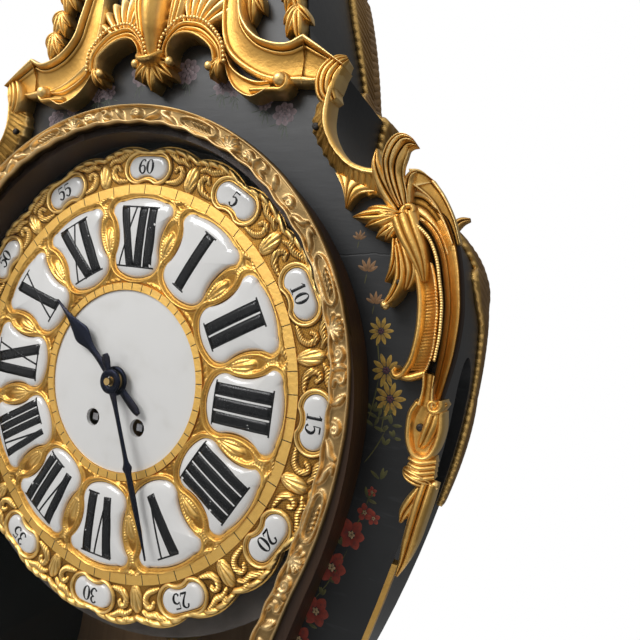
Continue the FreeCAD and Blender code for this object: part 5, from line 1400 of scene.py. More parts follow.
def screw_head(right: float, up: float, out: float, radius: float = 1.5) -> Shell:
    """A small dark screw: a low turned dome sunk a little into the mount."""
    profile = [(0.05, out - 1.5), (radius, out - 1.5), (radius, out + 0.15), (radius * 0.8, out + 0.45),
               (radius * 0.4, out + 0.6), (0.05, out + 0.62)]
    return turned_ring(profile, (right, up), 16)


def ridged(base: float, *ridges: Place, sag: float = 0.0) -> Section:
    """A band with half-round mouldings along it, in millimetres.

    Each moulding is its height times the root of 1 less the squared way from its middle; the ground
    between them sags with the square of the way across.

    Args:
        base: Height of the ground at the edges.
        ridges: Middle, half width and height of each moulding across v from -1 to 1.
        sag: How far the ground sags in the middle.

    Returns:
        The section.
    """
    def section(u: Array, v: Array) -> Array:
        """The ground plus the highest moulding at each place."""
        rounds = [roll(v, mid, half, high) for mid, half, high in ridges]
        return (base + sag * (v * v - 1) + np.max(rounds, 0)) * ease(0, 0.05, 1 - np.abs(v)) + 0 * u
    return section


def plumed(count: float, depth: float, height: float) -> Section:
    """A crowned band with broad uneven flutes that wander a little along it, in millimetres.

    Args:
        count: Flutes across the band.
        depth: Depth of the cuts between them.
        height: Height of the crown.

    Returns:
        The section.
    """
    def section(u: Array, v: Array) -> Array:
        """The crown less the cuts; a sine of place bends the cuts."""
        bent = v + 0.13 * np.sin(2.6 * v + 2 * u)
        flute = np.abs(np.sin(0.5 * np.pi * count * (bent + 1))) ** 0.6
        return height * arch(0.85 * v * v) + depth * (flute - 1) * ease(0, 0.15, 1 - np.abs(v))
    return section


def hollow_ribs(count: float, depth: float, sag: float) -> Section:
    """A hollow crossed by ribs that differ a little, in millimetres.

    Args:
        count: Ribs along the band.
        depth: Their height.
        sag: Depth of the hollow.

    Returns:
        The section.
    """
    def section(u: Array, v: Array) -> Array:
        """A parabola across plus slanting ribs of uneven height."""
        rib = np.abs(np.sin(np.pi * (count * u + 0.35 * v))) ** 0.7 * (0.6 + 0.4 * np.sin(21 * u + 2 * v))
        return sag * (v * v - 1) + depth * rib * ease(0.1, 0.3, u)
    return section


def cross_ribs(count: float, depth: float) -> Section:
    """A flat band with a raised inner lip, crossed by ribs that differ a little, in millimetres.

    Args:
        count: Ribs along the band.
        depth: Their height.

    Returns:
        The section.
    """
    def section(u: Array, v: Array) -> Array:
        """Ribs plus the lip on the far edge."""
        rib = np.abs(np.sin(np.pi * (count * u + 0.5 * v))) ** 0.6 * (0.75 + 0.25 * np.sin(29 * u))
        lip = 1.2 * np.exp(-((v - 0.75) / 0.2) ** 2)
        ribs = depth * rib * ease(-1.0, -0.7, v) * (1 - ease(0.4, 0.7, v))
        return (ribs + lip) * ease(0, 0.07, 1 - np.abs(v))
    return section


@dataclass
class CornerMounts:
    """The acanthus mounts on the case's shoulders, right one drawn and mirrored."""

    finishes: Finishes

    def build(self) -> None:
        """Makes the pair of corner mounts."""
        seat = Seat("case", "gilt_bronze", ("corner_mounts",))
        for name, shells in (("scrolls", self.mouldings() + self.cartouche()), ("leaves", self.crown()),
                             ("pendants", self.pendants())):
            make_piece("corner_mount_" + name, both_sides(shells), self.finishes.carved, seat)
        screws = [screw_head(153.4, 8.1, 5.6, 1.5), screw_head(138.5, 62.5, 9.0, 1.1)]
        make_piece("corner_mount_screws", both_sides(screws), self.finishes.iron, GILT)

    def crown(self) -> List[Shell]:
        """The plume that curls over, its leaves, the mitred head, the knot and the side leaves."""
        plume = ruled_band([(133.7, 92.2, 8), (130.6, 96.2, 9), (128, 101.5, 11), (126.8, 106.8, 13),
                            (127.2, 110, 15), (129.6, 113.7, 18), (133, 116, 20), (136.7, 115.9, 21),
                            (140, 114.1, 21), (142.1, 111.8, 20)],
                           [(138.1, 91.9, 9), (137, 97.3, 10), (135.6, 102.4, 11), (135.9, 106.1, 13),
                            (137.2, 109, 15), (138.3, 111, 17), (140.2, 111.4, 19), (142.3, 111.4, 20)],
                           plumed(3, 2.4, 2.8), 120, 55, 2.0)
        left = [(133.4, 91.6, 6, 2.6, 2.6), (128.8, 97.4, 7, 3.2, 2.8), (125.5, 102.8, 9, 2.9, 2.6),
                (123.6, 108.1, 11, 2.0, 2.2), (123.5, 113.4, 12, 0.4, 1.0)]
        back = [(136.6, 94.1, 6, 2.6, 3.0), (136.4, 98.9, 7, 2.6, 3.0), (136.9, 102.5, 8, 2.2, 2.6),
                (138.2, 104.6, 9, 1.6, 2.2), (139.6, 105.4, 9, 0.8, 1.4)]
        facet = ruled_band([(138.6, 100.6, 8), (146, 95.4, 6.4), (152, 87.4, 5.6), (156.4, 79, 5.2)],
                           [(146, 103.7, 3), (150.6, 98, 3.4), (155.6, 89.4, 3.8), (159.4, 79.5, 4)],
                           ridged(0.6, (-0.86, 0.14, 1.1), (0.8, 0.2, 1.3), sag=0.8), 70, 27, 3.0)
        upper = ruled_band([(135.6, 107.6, 6), (139.8, 107.6, 4.5), (145.4, 103.9, 2.6)],
                           [(138.6, 100.6, 8), (140.2, 100.2, 8.2), (146, 103.5, 3.2)],
                           ridged(0.5, (-0.8, 0.2, 1.0), sag=0.6), 40, 21, 2.5)
        knot = scroll_bar(volute((138.8, 90.2), 200, -1.1, 2.8, 0.9, 14), 7.8, (1.5, 1.0), (3.0, 2.4))
        web = ruled_band([(134.4, 104, 4.4), (142, 104.4, 3), (149.4, 96.6, 3), (157, 82.6, 3.2)],
                         [(137.6, 88.5, 5.4), (144.4, 86.0, 5.6), (150.4, 80.2, 5.6), (154.5, 73.2, 5.6)],
                         ridged(0.4, (-0.3, 0.2, 1.0), (0.5, 0.2, 1.0), sag=1.2), 60, 31, 4.0)
        band = [(136.5, 88.5, 7, 5.4, 4.4), (139.8, 82, 7.4, 5.2, 4.4), (143.2, 76, 7.5, 4.4, 4.0),
                (146.0, 70, 7, 3.0, 3.2), (147.8, 64, 6.2, 1.2, 2.0)]
        side = spray((134, 89.2, 6), ((172, 13, 2.6), (186, 19, 3.0), (203, 14, 2.6)), 3.2)
        small = spray((134.6, 86.4, 5), ((196, 9, 2.2), (218, 11, 2.4), (238, 9, 2.2)), 3.0)
        return [plume, carried(left, fluted(2, 0.5), 90, 33, 1.6), carried(back, fluted(2, 0.5), 80, 33, 1.6),
                facet, upper, web, knot, carried(band, fluted(3, 0.3), 90, 37)] + side + small

    def mouldings(self) -> List[Shell]:
        """The outer moulding, bead row, ribbed trough and inner rim."""
        outer = ruled_band([(140.4, 88, 2), (144.0, 85.6, 7.6), (149.2, 80.5, 8.4), (153.2, 72.8, 8.4),
                            (155.9, 63.0, 8.4), (157.5, 54, 8.4), (157.7, 40.8, 8.0), (156.9, 29.4, 7),
                            (156.0, 20.5, 5)],
                           [(145, 94.5, 1), (152.5, 90.0, 3), (157, 82, 3.6), (160.2, 71.5, 3.6),
                            (162.2, 60.5, 3.6), (163.2, 51, 3.6), (162.7, 37.6, 3.4), (160.9, 25.9, 3),
                            (159.4, 18, 2.6)],
                           ridged(1.0, (-0.84, 0.14, 2.4), (-0.42, 0.1, 0.9), (0.82, 0.17, 2.4), sag=2.4),
                           170, 61)
        beads = [(140.3, 86.2, 9.4), (144.8, 83.2, 10.4), (148.8, 79.2, 10.4), (152.2, 72.5, 10.8),
                 (154.4, 64.5, 10.8), (156.4, 55.4, 10.8), (157, 44.3, 10.2), (156.2, 34.8, 9.2)]
        bar = [(x, y, out - 7.0, 1.4, 6.8) for x, y, out in beads]
        trough = ruled_band([(142.8, 71, 5.5), (145.3, 64.2, 5.6), (147.1, 56.6, 5.6), (148.1, 47, 5.6),
                             (147.4, 37.3, 5.4), (145.2, 28.7, 4.6)],
                            [(149.7, 71.1, 8.5), (152.2, 63.7, 8.8), (154.1, 55.3, 8.8), (154.9, 44, 8.8),
                             (154.4, 35.2, 8), (152.6, 29.6, 6.6)], hollow_ribs(34, 0.6, 1.8), 280, 25)
        rim = [(137.5, 80, 5.0, 1.2, 3.4), (141.2, 74.9, 5.2, 1.4, 3.6), (145, 66, 5.2, 1.5, 3.6),
               (147.4, 56.7, 5.2, 1.6, 3.6), (148.2, 45.2, 5.2, 1.6, 3.6), (146.9, 34.1, 5.2, 1.5, 3.4),
               (144.2, 27.8, 5.0, 1.4, 3.4), (141.6, 26.2, 4.8, 1.3, 3.2), (140.2, 27.8, 4.8, 1.2, 3.0),
               (141.0, 29.6, 4.8, 1.0, 2.8)]
        sill = [(142.2, 26.2, 3.4, 1.5, 3.2), (147.2, 26.6, 4, 1.8, 3.4), (152.8, 29.2, 4, 1.6, 3.2)]
        return [outer, beads_along(beads, 0.78, 1.0), carried(bar, crowned, 120, 11), trough,
                carried(rim, crowned, 150, 13), carried(sill, crowned, 50, 13)]

    def cartouche(self) -> List[Shell]:
        """The neck, the small cartouche with its tongue, curl and wing, and the folded collar."""
        neck = ruled_band([(151.6, 29.4, 5), (152.2, 23, 5), (151.2, 16.8, 5)],
                          [(157.4, 28.6, 6), (157.2, 22.5, 6), (158, 16.5, 6)],
                          ridged(1.0, (-0.7, 0.3, 1.8), (0.7, 0.3, 1.8), sag=0.6), 60, 25)
        rim = [(151.5, 17.7), (149.4, 13.4), (149, 8.4), (149.6, 2.7), (152.1, -2.2), (156.4, -3.2),
               (159.6, 0.4), (161.2, 8), (160.6, 15.5)]
        floor = ruled_band([(152, 17, 3), (149.6, 8.4, 3), (152.4, -2, 3)],
                           [(160, 15, 3), (160.6, 8, 3), (157, -2.6, 3)],
                           ridged(1.2, (0.0, 0.9, 0.4), sag=0.8), 40, 17)
        tongue = [(158.2, 14.5, 5, 2.6, 2.6), (157.4, 9.5, 5.4, 2.8, 2.8), (155.8, 4, 5, 2.4, 2.4),
                  (154.4, 0.8, 4, 1.2, 1.6)]
        curl = scroll_bar(volute((157.6, 17.6), 40, -1.3, 3.4, 0.8, 14), 6.0, (1.4, 0.8), (3.2, 2.4))
        wing = [(156.5, 14.0, 5, 1.6, 2.6), (159.4, 16.6, 5.4, 2.2, 2.8), (162.2, 18.8, 4.6, 0.8, 1.4)]
        folds = [carried([(151.4 + 0.3 * k, -4.4 - 2.0 * k, 3.4, 1.1, 3.0),
                          (155.6, -4.8 - 2.0 * k, 4.8, 1.5, 3.6), (160.8, -3.4 - 2.0 * k, 3.6, 1.2, 3.0)],
                         crowned, 40, 11) for k in range(4)]
        knob = ball((161.6, -12.4, 4.0), 1.8)
        return [neck, scroll_bar(np.array(rim), 4.0, (1.5, 1.5), (3.6, 3.4)), floor,
                carried(tongue, fluted(2, 0.4), 60, 25), curl, carried(wing, fluted(2, 0.4), 40, 17),
                knob] + folds

    def pendants(self) -> List[Shell]:
        """The three hanging husks beside the trough and the frill and long leaves below the collar."""
        husks = [([(134, 79.5, 5, 1.7, 3.0), (134.9, 72.2, 5.4, 2.1, 3.2), (134.2, 67, 5, 1.7, 2.8),
                   (131.9, 62.6, 4, 0.6, 1.4)], 2),
                 ([(135.6, 76.7, 6, 1.7, 3.4), (137.5, 69.9, 6.4, 2.1, 3.6), (138.2, 63.6, 6.4, 2.5, 3.6),
                   (136.5, 57.9, 6.2, 2.3, 3.4), (133.7, 53.4, 6.4, 1.4, 2.6)], 2),
                 ([(136.8, 78.8, 6, 2.6, 3.6), (140, 72.5, 6.2, 3.4, 3.8), (141.6, 67.2, 6, 3.5, 3.6),
                   (141.2, 62.5, 5, 2.3, 3.0), (140.4, 60.2, 4, 0.7, 1.6)], 3),
                 ([(159, -11.5, 4, 2, 3), (155.5, -10.6, 5, 3.6, 3.6), (151.8, -9.8, 4.4, 3.4, 3),
                   (149.4, -9.4, 3, 1.4, 1.6)], 4),
                 ([(159.4, -12, 4, 3.4, 3.6), (158, -20, 4.6, 3.6, 3.8), (156.6, -28, 4.4, 3.4, 3.6),
                   (155.2, -36, 3.8, 3.1, 3.2), (153.6, -44, 2.8, 2.0, 2.4), (151.4, -51, 1.4, 0.7, 1.4)], 2),
                 ([(156.6, -15, 3.4, 2.0, 3.0), (153.8, -21, 3.8, 2.7, 3.0), (151.6, -25.5, 3.2, 2.3, 2.6),
                   (150.2, -30, 2, 0.7, 1.3)], 2)]
        drops = [carried(rows, fluted(flutes, 0.5), 100, 33) for rows, flutes in husks]
        return drops + [ball((133.6, 53.2, 6.8), 2.0)]


@dataclass
class ShoulderScrolls:
    """The ribbed C scrolls that frame the case's shoulders."""

    finishes: Finishes

    def build(self) -> None:
        """Makes the pair of shoulder scrolls."""
        outer = [(91.4, 140, 2), (88.9, 131, 2.5), (90.0, 123.6, 3), (94.2, 117.0, 3), (98.6, 111.2, 3),
                 (104.8, 104.6, 2.8), (110.8, 99.6, 2.6), (118.6, 97.4, 2.4), (130, 97, 2.6)]
        inner = [(97.9, 140.8, 8.5), (97.2, 131, 8.5), (98.0, 125, 8.5), (100.4, 119.6, 8.3),
                 (104.4, 114.2, 8.2), (110.4, 109.2, 8), (116.6, 106.9, 7.6), (123, 106.2, 7.4),
                 (132, 106, 7.4)]
        lip = [(x - 0.3, y, z - 1.8, 1.2, 2.0) for x, y, z in [(101.6, 150, 7.6)] + inner]
        lobe = [(97.6, 135.6, 4, 3.2, 3.4), (95.0, 140, 5, 4.8, 4.2), (95.4, 146.4, 5.4, 5.6, 4.4),
                (98.6, 151.6, 4.6, 4.2, 3.6), (101.6, 154.4, 3, 1.6, 1.8)]
        drop = ruled_band([(103.5, 106, 3.4), (107.2, 100.5, 4), (109.0, 96, 3.6), (109.6, 91.4, 2)],
                          [(122, 98.8, 3.4), (116.6, 98.0, 4), (113, 95.2, 3.6), (110.6, 91.2, 2)],
                          plumed(3, 1.0, 1.9), 60, 41)
        outer = spline(outer, 90)
        outer += path_frames(outer)[0] * (0.9 * np.abs(np.sin(np.linspace(0, 12 * np.pi, 90)))[:, None] - 0.4)
        shells = [ruled_band(outer, inner, cross_ribs(23, 1.1), 300, 25), carried(lip, crowned, 120, 11),
                  carried(lobe, fluted(4, 0.45), 80, 49), drop]
        make_piece("shoulder_scroll_ribs", both_sides(shells), self.finishes.carved,
                   Seat("case", "gilt_bronze", ("shoulder_scrolls",)))
        make_piece("shoulder_scroll_screws", both_sides([screw_head(92.5, 125, 6.4, 1.6)]),
                   self.finishes.iron, GILT)


@dataclass
class StripCarving:
    """Carved leaf work over the gilt strips at the case's back edges."""

    finishes: Finishes
    back: float = -104.3
    width: float = 15.0
    step: float = 0.7
    repeat: float = 68.0

    def build(self) -> None:
        """Makes both carved strips: a crowned band whose height and front edge swell with each leaf."""
        corners = np.vstack([arc_through((62, 240), (72, 205), (79, 172), 60),
                             arc_through((79, 172), (84.5, 160.5), (97, 153), 30),
                             arc_through((97, 153), (95, 132), (121, 103), 50),
                             arc_through((121, 103), (146.5, 91), (157, 62), 50),
                             arc_through((157, 62), (158.5, 24.5), (148, -49), 70)])
        run = run_along(corners)
        at = np.arange(0, run[-1], self.step)
        line = at_runs(corners, run, at)
        ahead = unit(np.gradient(line, axis=0))
        outward = np.stack([-ahead[:, 1], ahead[:, 0]], -1)
        s, v = at[:, None], np.linspace(-1, 1, 23)[None, :]
        beat = s / self.repeat - np.floor(s / self.repeat)
        swell = np.sin(np.pi * beat ** 0.6)
        rib = np.abs(np.sin(np.pi * (s / 4.4 + 1.6 * np.abs(v)))) ** 0.7
        broad = ease(48, 78, line[:, 1:2])
        shoulder = 22.0 + 22.0 * (1 - ease(100, 130, line[:, 1:2]))
        height = 2.3 + (1.3 * swell + (0.25 + 0.5 * broad) * rib) * arch(v * v)
        height = np.where(np.abs(v) > 0.99, -SUNK, height)
        width = self.width + 4.0 * swell + shoulder * broad * (0.6 + 0.4 * swell) + 0.9 * rib
        reach = (0.5 + 0.5 * v) * width
        flat = line[:, None] + outward[:, None] * height[..., None]
        points = np.concatenate([flat, self.back + reach[..., None]], -1)
        tip = carried([(130.5, 97, -95, 3.6, 3.4), (135, 103, -95, 3.6, 3.2), (139.6, 107.8, -95, 2.8, 2.8),
                       (144.6, 109.4, -95, 1.0, 1.8)], fluted(2, 0.4), 40, 21, 1.8)
        # the strips take the darker gilding, which paints shade on them
        make_piece("edge_strip_carving", both_sides([tube(points), tip]), self.finishes.shaded, GILT)


@dataclass
class Crest:
    """The crest mount over the door: arches, shell, hollow bands and a bulb on leaves, drawn on the right."""

    finishes: Finishes
    seat: Seat = Seat("case", "gilt_bronze", ("crest_and_apron_mounts",))

    def build(self) -> None:
        """Makes the crest, and the apron mount at the case's foot."""
        for name, shells in (("crest_bands", both_sides(self.bands())),
                             ("crest_arches", both_sides(self.arches())),
                             ("crest_leaves", both_sides(self.leaves()) + self.centre()),
                             ("apron_mount", self.apron())):
            make_piece(name, shells, self.finishes.carved, self.seat)

    def bands(self) -> List[Shell]:
        """The broad hollow band with its mitred point, and the lower lobe with its rolled end."""
        broad = ridged(0.4, (-0.84, 0.17, 2.6), (-0.56, 0.06, 0.8), (0.8, 0.14, 1.4), sag=1.6)
        upper = [(45, 204, 6), (46.4, 193, 8), (48.5, 182.5, 9), (51.5, 173.1, 9), (59.1, 164.8, 9),
                 (68.8, 161.0, 8.6), (76.2, 160.8, 8.2), (82.5, 163.8, 8)]
        lower = [(38, 200, 5), (37, 188, 6), (37.2, 176, 6), (39.2, 166, 6), (44, 158, 5.6), (54, 151, 5),
                 (66, 146, 4.6), (82, 144.5, 4)]
        tip = [(82.5, 163.8, 8), (92, 157.4, 7.6), (102.6, 149.7, 7)]
        toe = [(82, 144.5, 4), (89, 144.4, 4.2), (98.6, 148.2, 5)]
        edge = [(41.2, 160, 4.5), (45.5, 153.6, 5), (52, 149, 5.2), (60, 146, 5.2), (67, 145.4, 5.4)]
        lobe = [(41.0, 155.4, 3), (45.6, 146.6, 4), (51.5, 140.9, 5), (59.3, 138.1, 5.6), (67.4, 141.5, 6)]
        roll_end = np.vstack([[(58, 141.5), (65.4, 141.5)], volute((72.6, 145.4), -120, 1.2, 4.6, 1.4, 11)])
        return [ruled_band(upper, lower, broad, 150, 51), ruled_band(tip, toe, broad, 50, 51),
                ruled_band(edge, lobe, ridged(0.6, (-0.8, 0.18, 1.6), (0.84, 0.16, 2.0), sag=0.6), 110, 31),
                scroll_bar(roll_end, 4.6, (1.6, 1.5), (3.6, 3.6)), ball((72.8, 145.4, 7.4), 3.2)]

    def arches(self) -> List[Shell]:
        """The beaded arch of three mouldings beside the centre, with curled ends."""
        main = ruled_band([(4.6, 158.5, 5), (7.0, 167, 6.4), (14.6, 174.4, 7), (22.5, 174.8, 7),
                           (31.0, 171.8, 7), (39.8, 163, 6.4), (41.2, 154.8, 5)],
                          [(9.5, 158.1, 5), (9.8, 164.4, 6), (13.9, 168.4, 6.4), (20.9, 168.8, 6.4),
                           (28.2, 165.8, 6.4), (34, 161.2, 6), (35.6, 155.9, 5)],
                          ridged(1.0, (-0.72, 0.26, 2.0), (-0.1, 0.24, 1.4), (0.7, 0.3, 2.6), sag=0.5),
                          130, 41)
        ends = [ball((10.4, 157.2, 7.2), 2.3), ball((33.8, 153.8, 7.0), 2.2)]
        beads = [(3.6, 160.6, 8), (6.2, 168.4, 9.6), (14.0, 175.6, 10), (22.4, 176.2, 10), (31.4, 173.0, 10),
                 (40.2, 164.4, 9.6), (42.4, 155.4, 8)]
        return [main, beads_along(beads, 0.9, 1.9)] + ends

    def leaves(self) -> List[Shell]:
        """The fluted shell behind the arch and the hanging leaves beside the band."""
        shell = fan((20.0, 168.5, 2.0), 27.0, 24.0, 156.0, 9, 5.4, 50, 14)
        small = spray((38.6, 157, 4), ((212, 7, 1.8), (238, 9, 2.0), (264, 8, 1.8)), 2.8)
        hanging = [blade for x, y, turn in ((68, 204, -8), (71, 191, 6), (74.6, 179.5, -2))
                   for blade in spray((x, y, 1.6), ((226 + turn, 9, 2.2), (252 + turn, 13, 2.8),
                                                    (280 + turn, 15, 3.0), (318 + turn, 9, 2.2)), 3.0)]
        tuft = spray((50.5, 190, 1.6), ((244, 11, 2.6), (272, 15, 3.0), (300, 12, 2.6)), 3.0)
        return [shell] + small + hanging + tuft

    def centre(self) -> List[Shell]:
        """The smooth bulb on the centre line, its cup and the leaf below it."""
        bulb = [(0, 200, 6, 2.6, 4), (0, 193, 8, 4.8, 7), (0, 184, 9, 5.8, 8.4), (0, 175, 8.6, 5.0, 7.6),
                (0, 168, 7.6, 3.7, 6), (0, 160, 6, 3.0, 4)]
        cup = carried([(-6.6, 160.4, 8, 1.0, 2.6), (-3.6, 157.2, 11, 1.5, 3.2), (0, 156.2, 12, 1.6, 3.4),
                       (3.6, 157.2, 11, 1.5, 3.2), (6.6, 160.4, 8, 1.0, 2.6)], crowned, 60, 13)
        frond = spray((0.0, 159.0, 4.6), ((270, 14.5, 3.2), (240, 12, 2.8), (300, 12, 2.8), (216, 14, 3.0),
                                          (324, 14, 3.0), (190, 11, 2.6), (350, 11, 2.6)), 3.4)
        drape = [(10.6, 198, 5, 3.0, 3.4), (11.6, 187, 6, 4.2, 3.8), (9.4, 175, 5.6, 3.2, 3.4),
                 (7.0, 164, 4.6, 2.0, 2.6)]
        drapes = both_sides([carried(drape, fluted(3, 0.5), 100, 41)])
        return [carried(bulb, crowned, 110, 31), cup] + frond + drapes

    def apron(self) -> List[Shell]:
        """The shell between scrolls and leaves at the middle of the case's foot."""
        side = [blade for x, y in ((22, -255), (40, -252), (58, -252.5))
                for blade in spray((x, y, 2.0), ((338, 26, 3.0), (2, 28, 3.2), (26, 20, 2.8)), 3.2)]
        scroll = np.vstack([[(8, -230.5), (18, -231.5)], volute((27, -239), 110, -1.5, 7.4, 1.4, 16)])
        rim = carried([(-30, -250, 1.4, 1.6, 3.2), (-22, -234, 2.4, 1.9, 3.8), (0, -227.4, 3.4, 2.0, 4.2),
                       (22, -234, 2.4, 1.9, 3.8), (30, -250, 1.4, 1.6, 3.2)], crowned, 110, 13)
        return both_sides(side + [scroll_bar(scroll, 2.6, (2.0, 1.2), (4.0, 2.8))]) + [
            rim, fan((0.0, -261.0, 1.6), 32.0, 16.0, 164.0, 11, 4.6, 50, 14)]


def standing(names: Sequence[str], right: float, up: float) -> float:
    """How far out the named solids stand at one place, seen from the front.

    Args:
        names: Solids that are looked at.
        right: Place right of the dial's centre.
        up: Place above it.

    Returns:
        The foremost solid's way out.
    """
    eye = Vector((right / MM, -1.0, (up + DIAL_RISE) / MM))
    hits = [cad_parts[name].ray_cast(eye, Vector((0, 1, 0))) for name in names]
    return max(-MM * place.y - DIAL_FRONT for hit, place, _, _ in hits if hit)


@dataclass
class BracketCarving:
    """Leaves and husks on the wall bracket, and the fluted finial."""

    finishes: Finishes
    finial_out: float = -53.0
    finial_span: Pair = (306.2, 393.8)

    def build(self) -> None:
        """Makes the carved pieces."""
        middle = [self.blade(0, up, degrees, length, half) for up, blades in (
            (-352, ((90, 30, 4.4), (66, 28, 4.0), (114, 28, 4.0), (42, 22, 3.6), (138, 22, 3.6))),
            (-350, ((270, 34, 5.0), (243, 26, 4.2), (297, 26, 4.2))),
            (-376, ((270, 32, 4.2), (246, 22, 3.4), (294, 22, 3.4)))) for degrees, length, half in blades]
        sides = both_sides([self.blade(right, up, degrees, length, half)
                            for right, up in ((106, -330), (92, -354), (75, -382))
                            for degrees, length, half in ((238, 34, 4.4), (214, 24, 3.4), (252, 20, 3.2))])
        make_piece("bracket_carving", middle + sides, self.finishes.carved, Seat("bracket", "gilt_bronze"))
        make_piece("finial_flutes", [self.finial()], self.finishes.carved,
                   Seat("case", "gilt_bronze", ("finial",)))

    def blade(self, right: float, up: float, degrees: float, length: float, half: float) -> Shell:
        """One leaflet that lies on the bracket.

        Args:
            right: Place of its root.
            up: Height of its root.
            degrees: Direction from right towards up.
            length: Its length.
            half: Half its width.

        Returns:
            The leaflet.
        """
        way = length * heading(degrees)
        rows = []
        for run, wide, tall in ((0, 0.6, 3.6), (0.35, 1.0, 4.2), (0.7, 0.8, 3.6), (1, 0.12, 1.4)):
            x, y = right + run * way[0], up + run * way[1]
            rows.append((x, y, standing(("bracket_body", "bracket_mounts"), x, y) - 0.6, half * wide, tall))
        return carried(rows, fluted(2, 0.5), 44, 25, 1.6)

    def finial(self) -> Shell:
        """The turned finial with shallow flutes: the solid's own radius times a small ripple round it."""
        up = np.linspace(*self.finial_span, 90)
        radius = np.array([max(standing(("finial",), 0.0, y) - self.finial_out, 0.3) for y in up])[:, None]
        turn = np.linspace(0, 2 * np.pi, 96, endpoint=False)[None, :]
        ripple = radius * (1 - 0.12 * ease(6.0, 11.0, radius) * (1 - np.abs(np.sin(6 * turn))) ** 1.5)
        points = np.stack([ripple * np.cos(turn), up[:, None] + 0 * ripple,
                           self.finial_out + ripple * np.sin(turn)], -1)
        return tube(points)


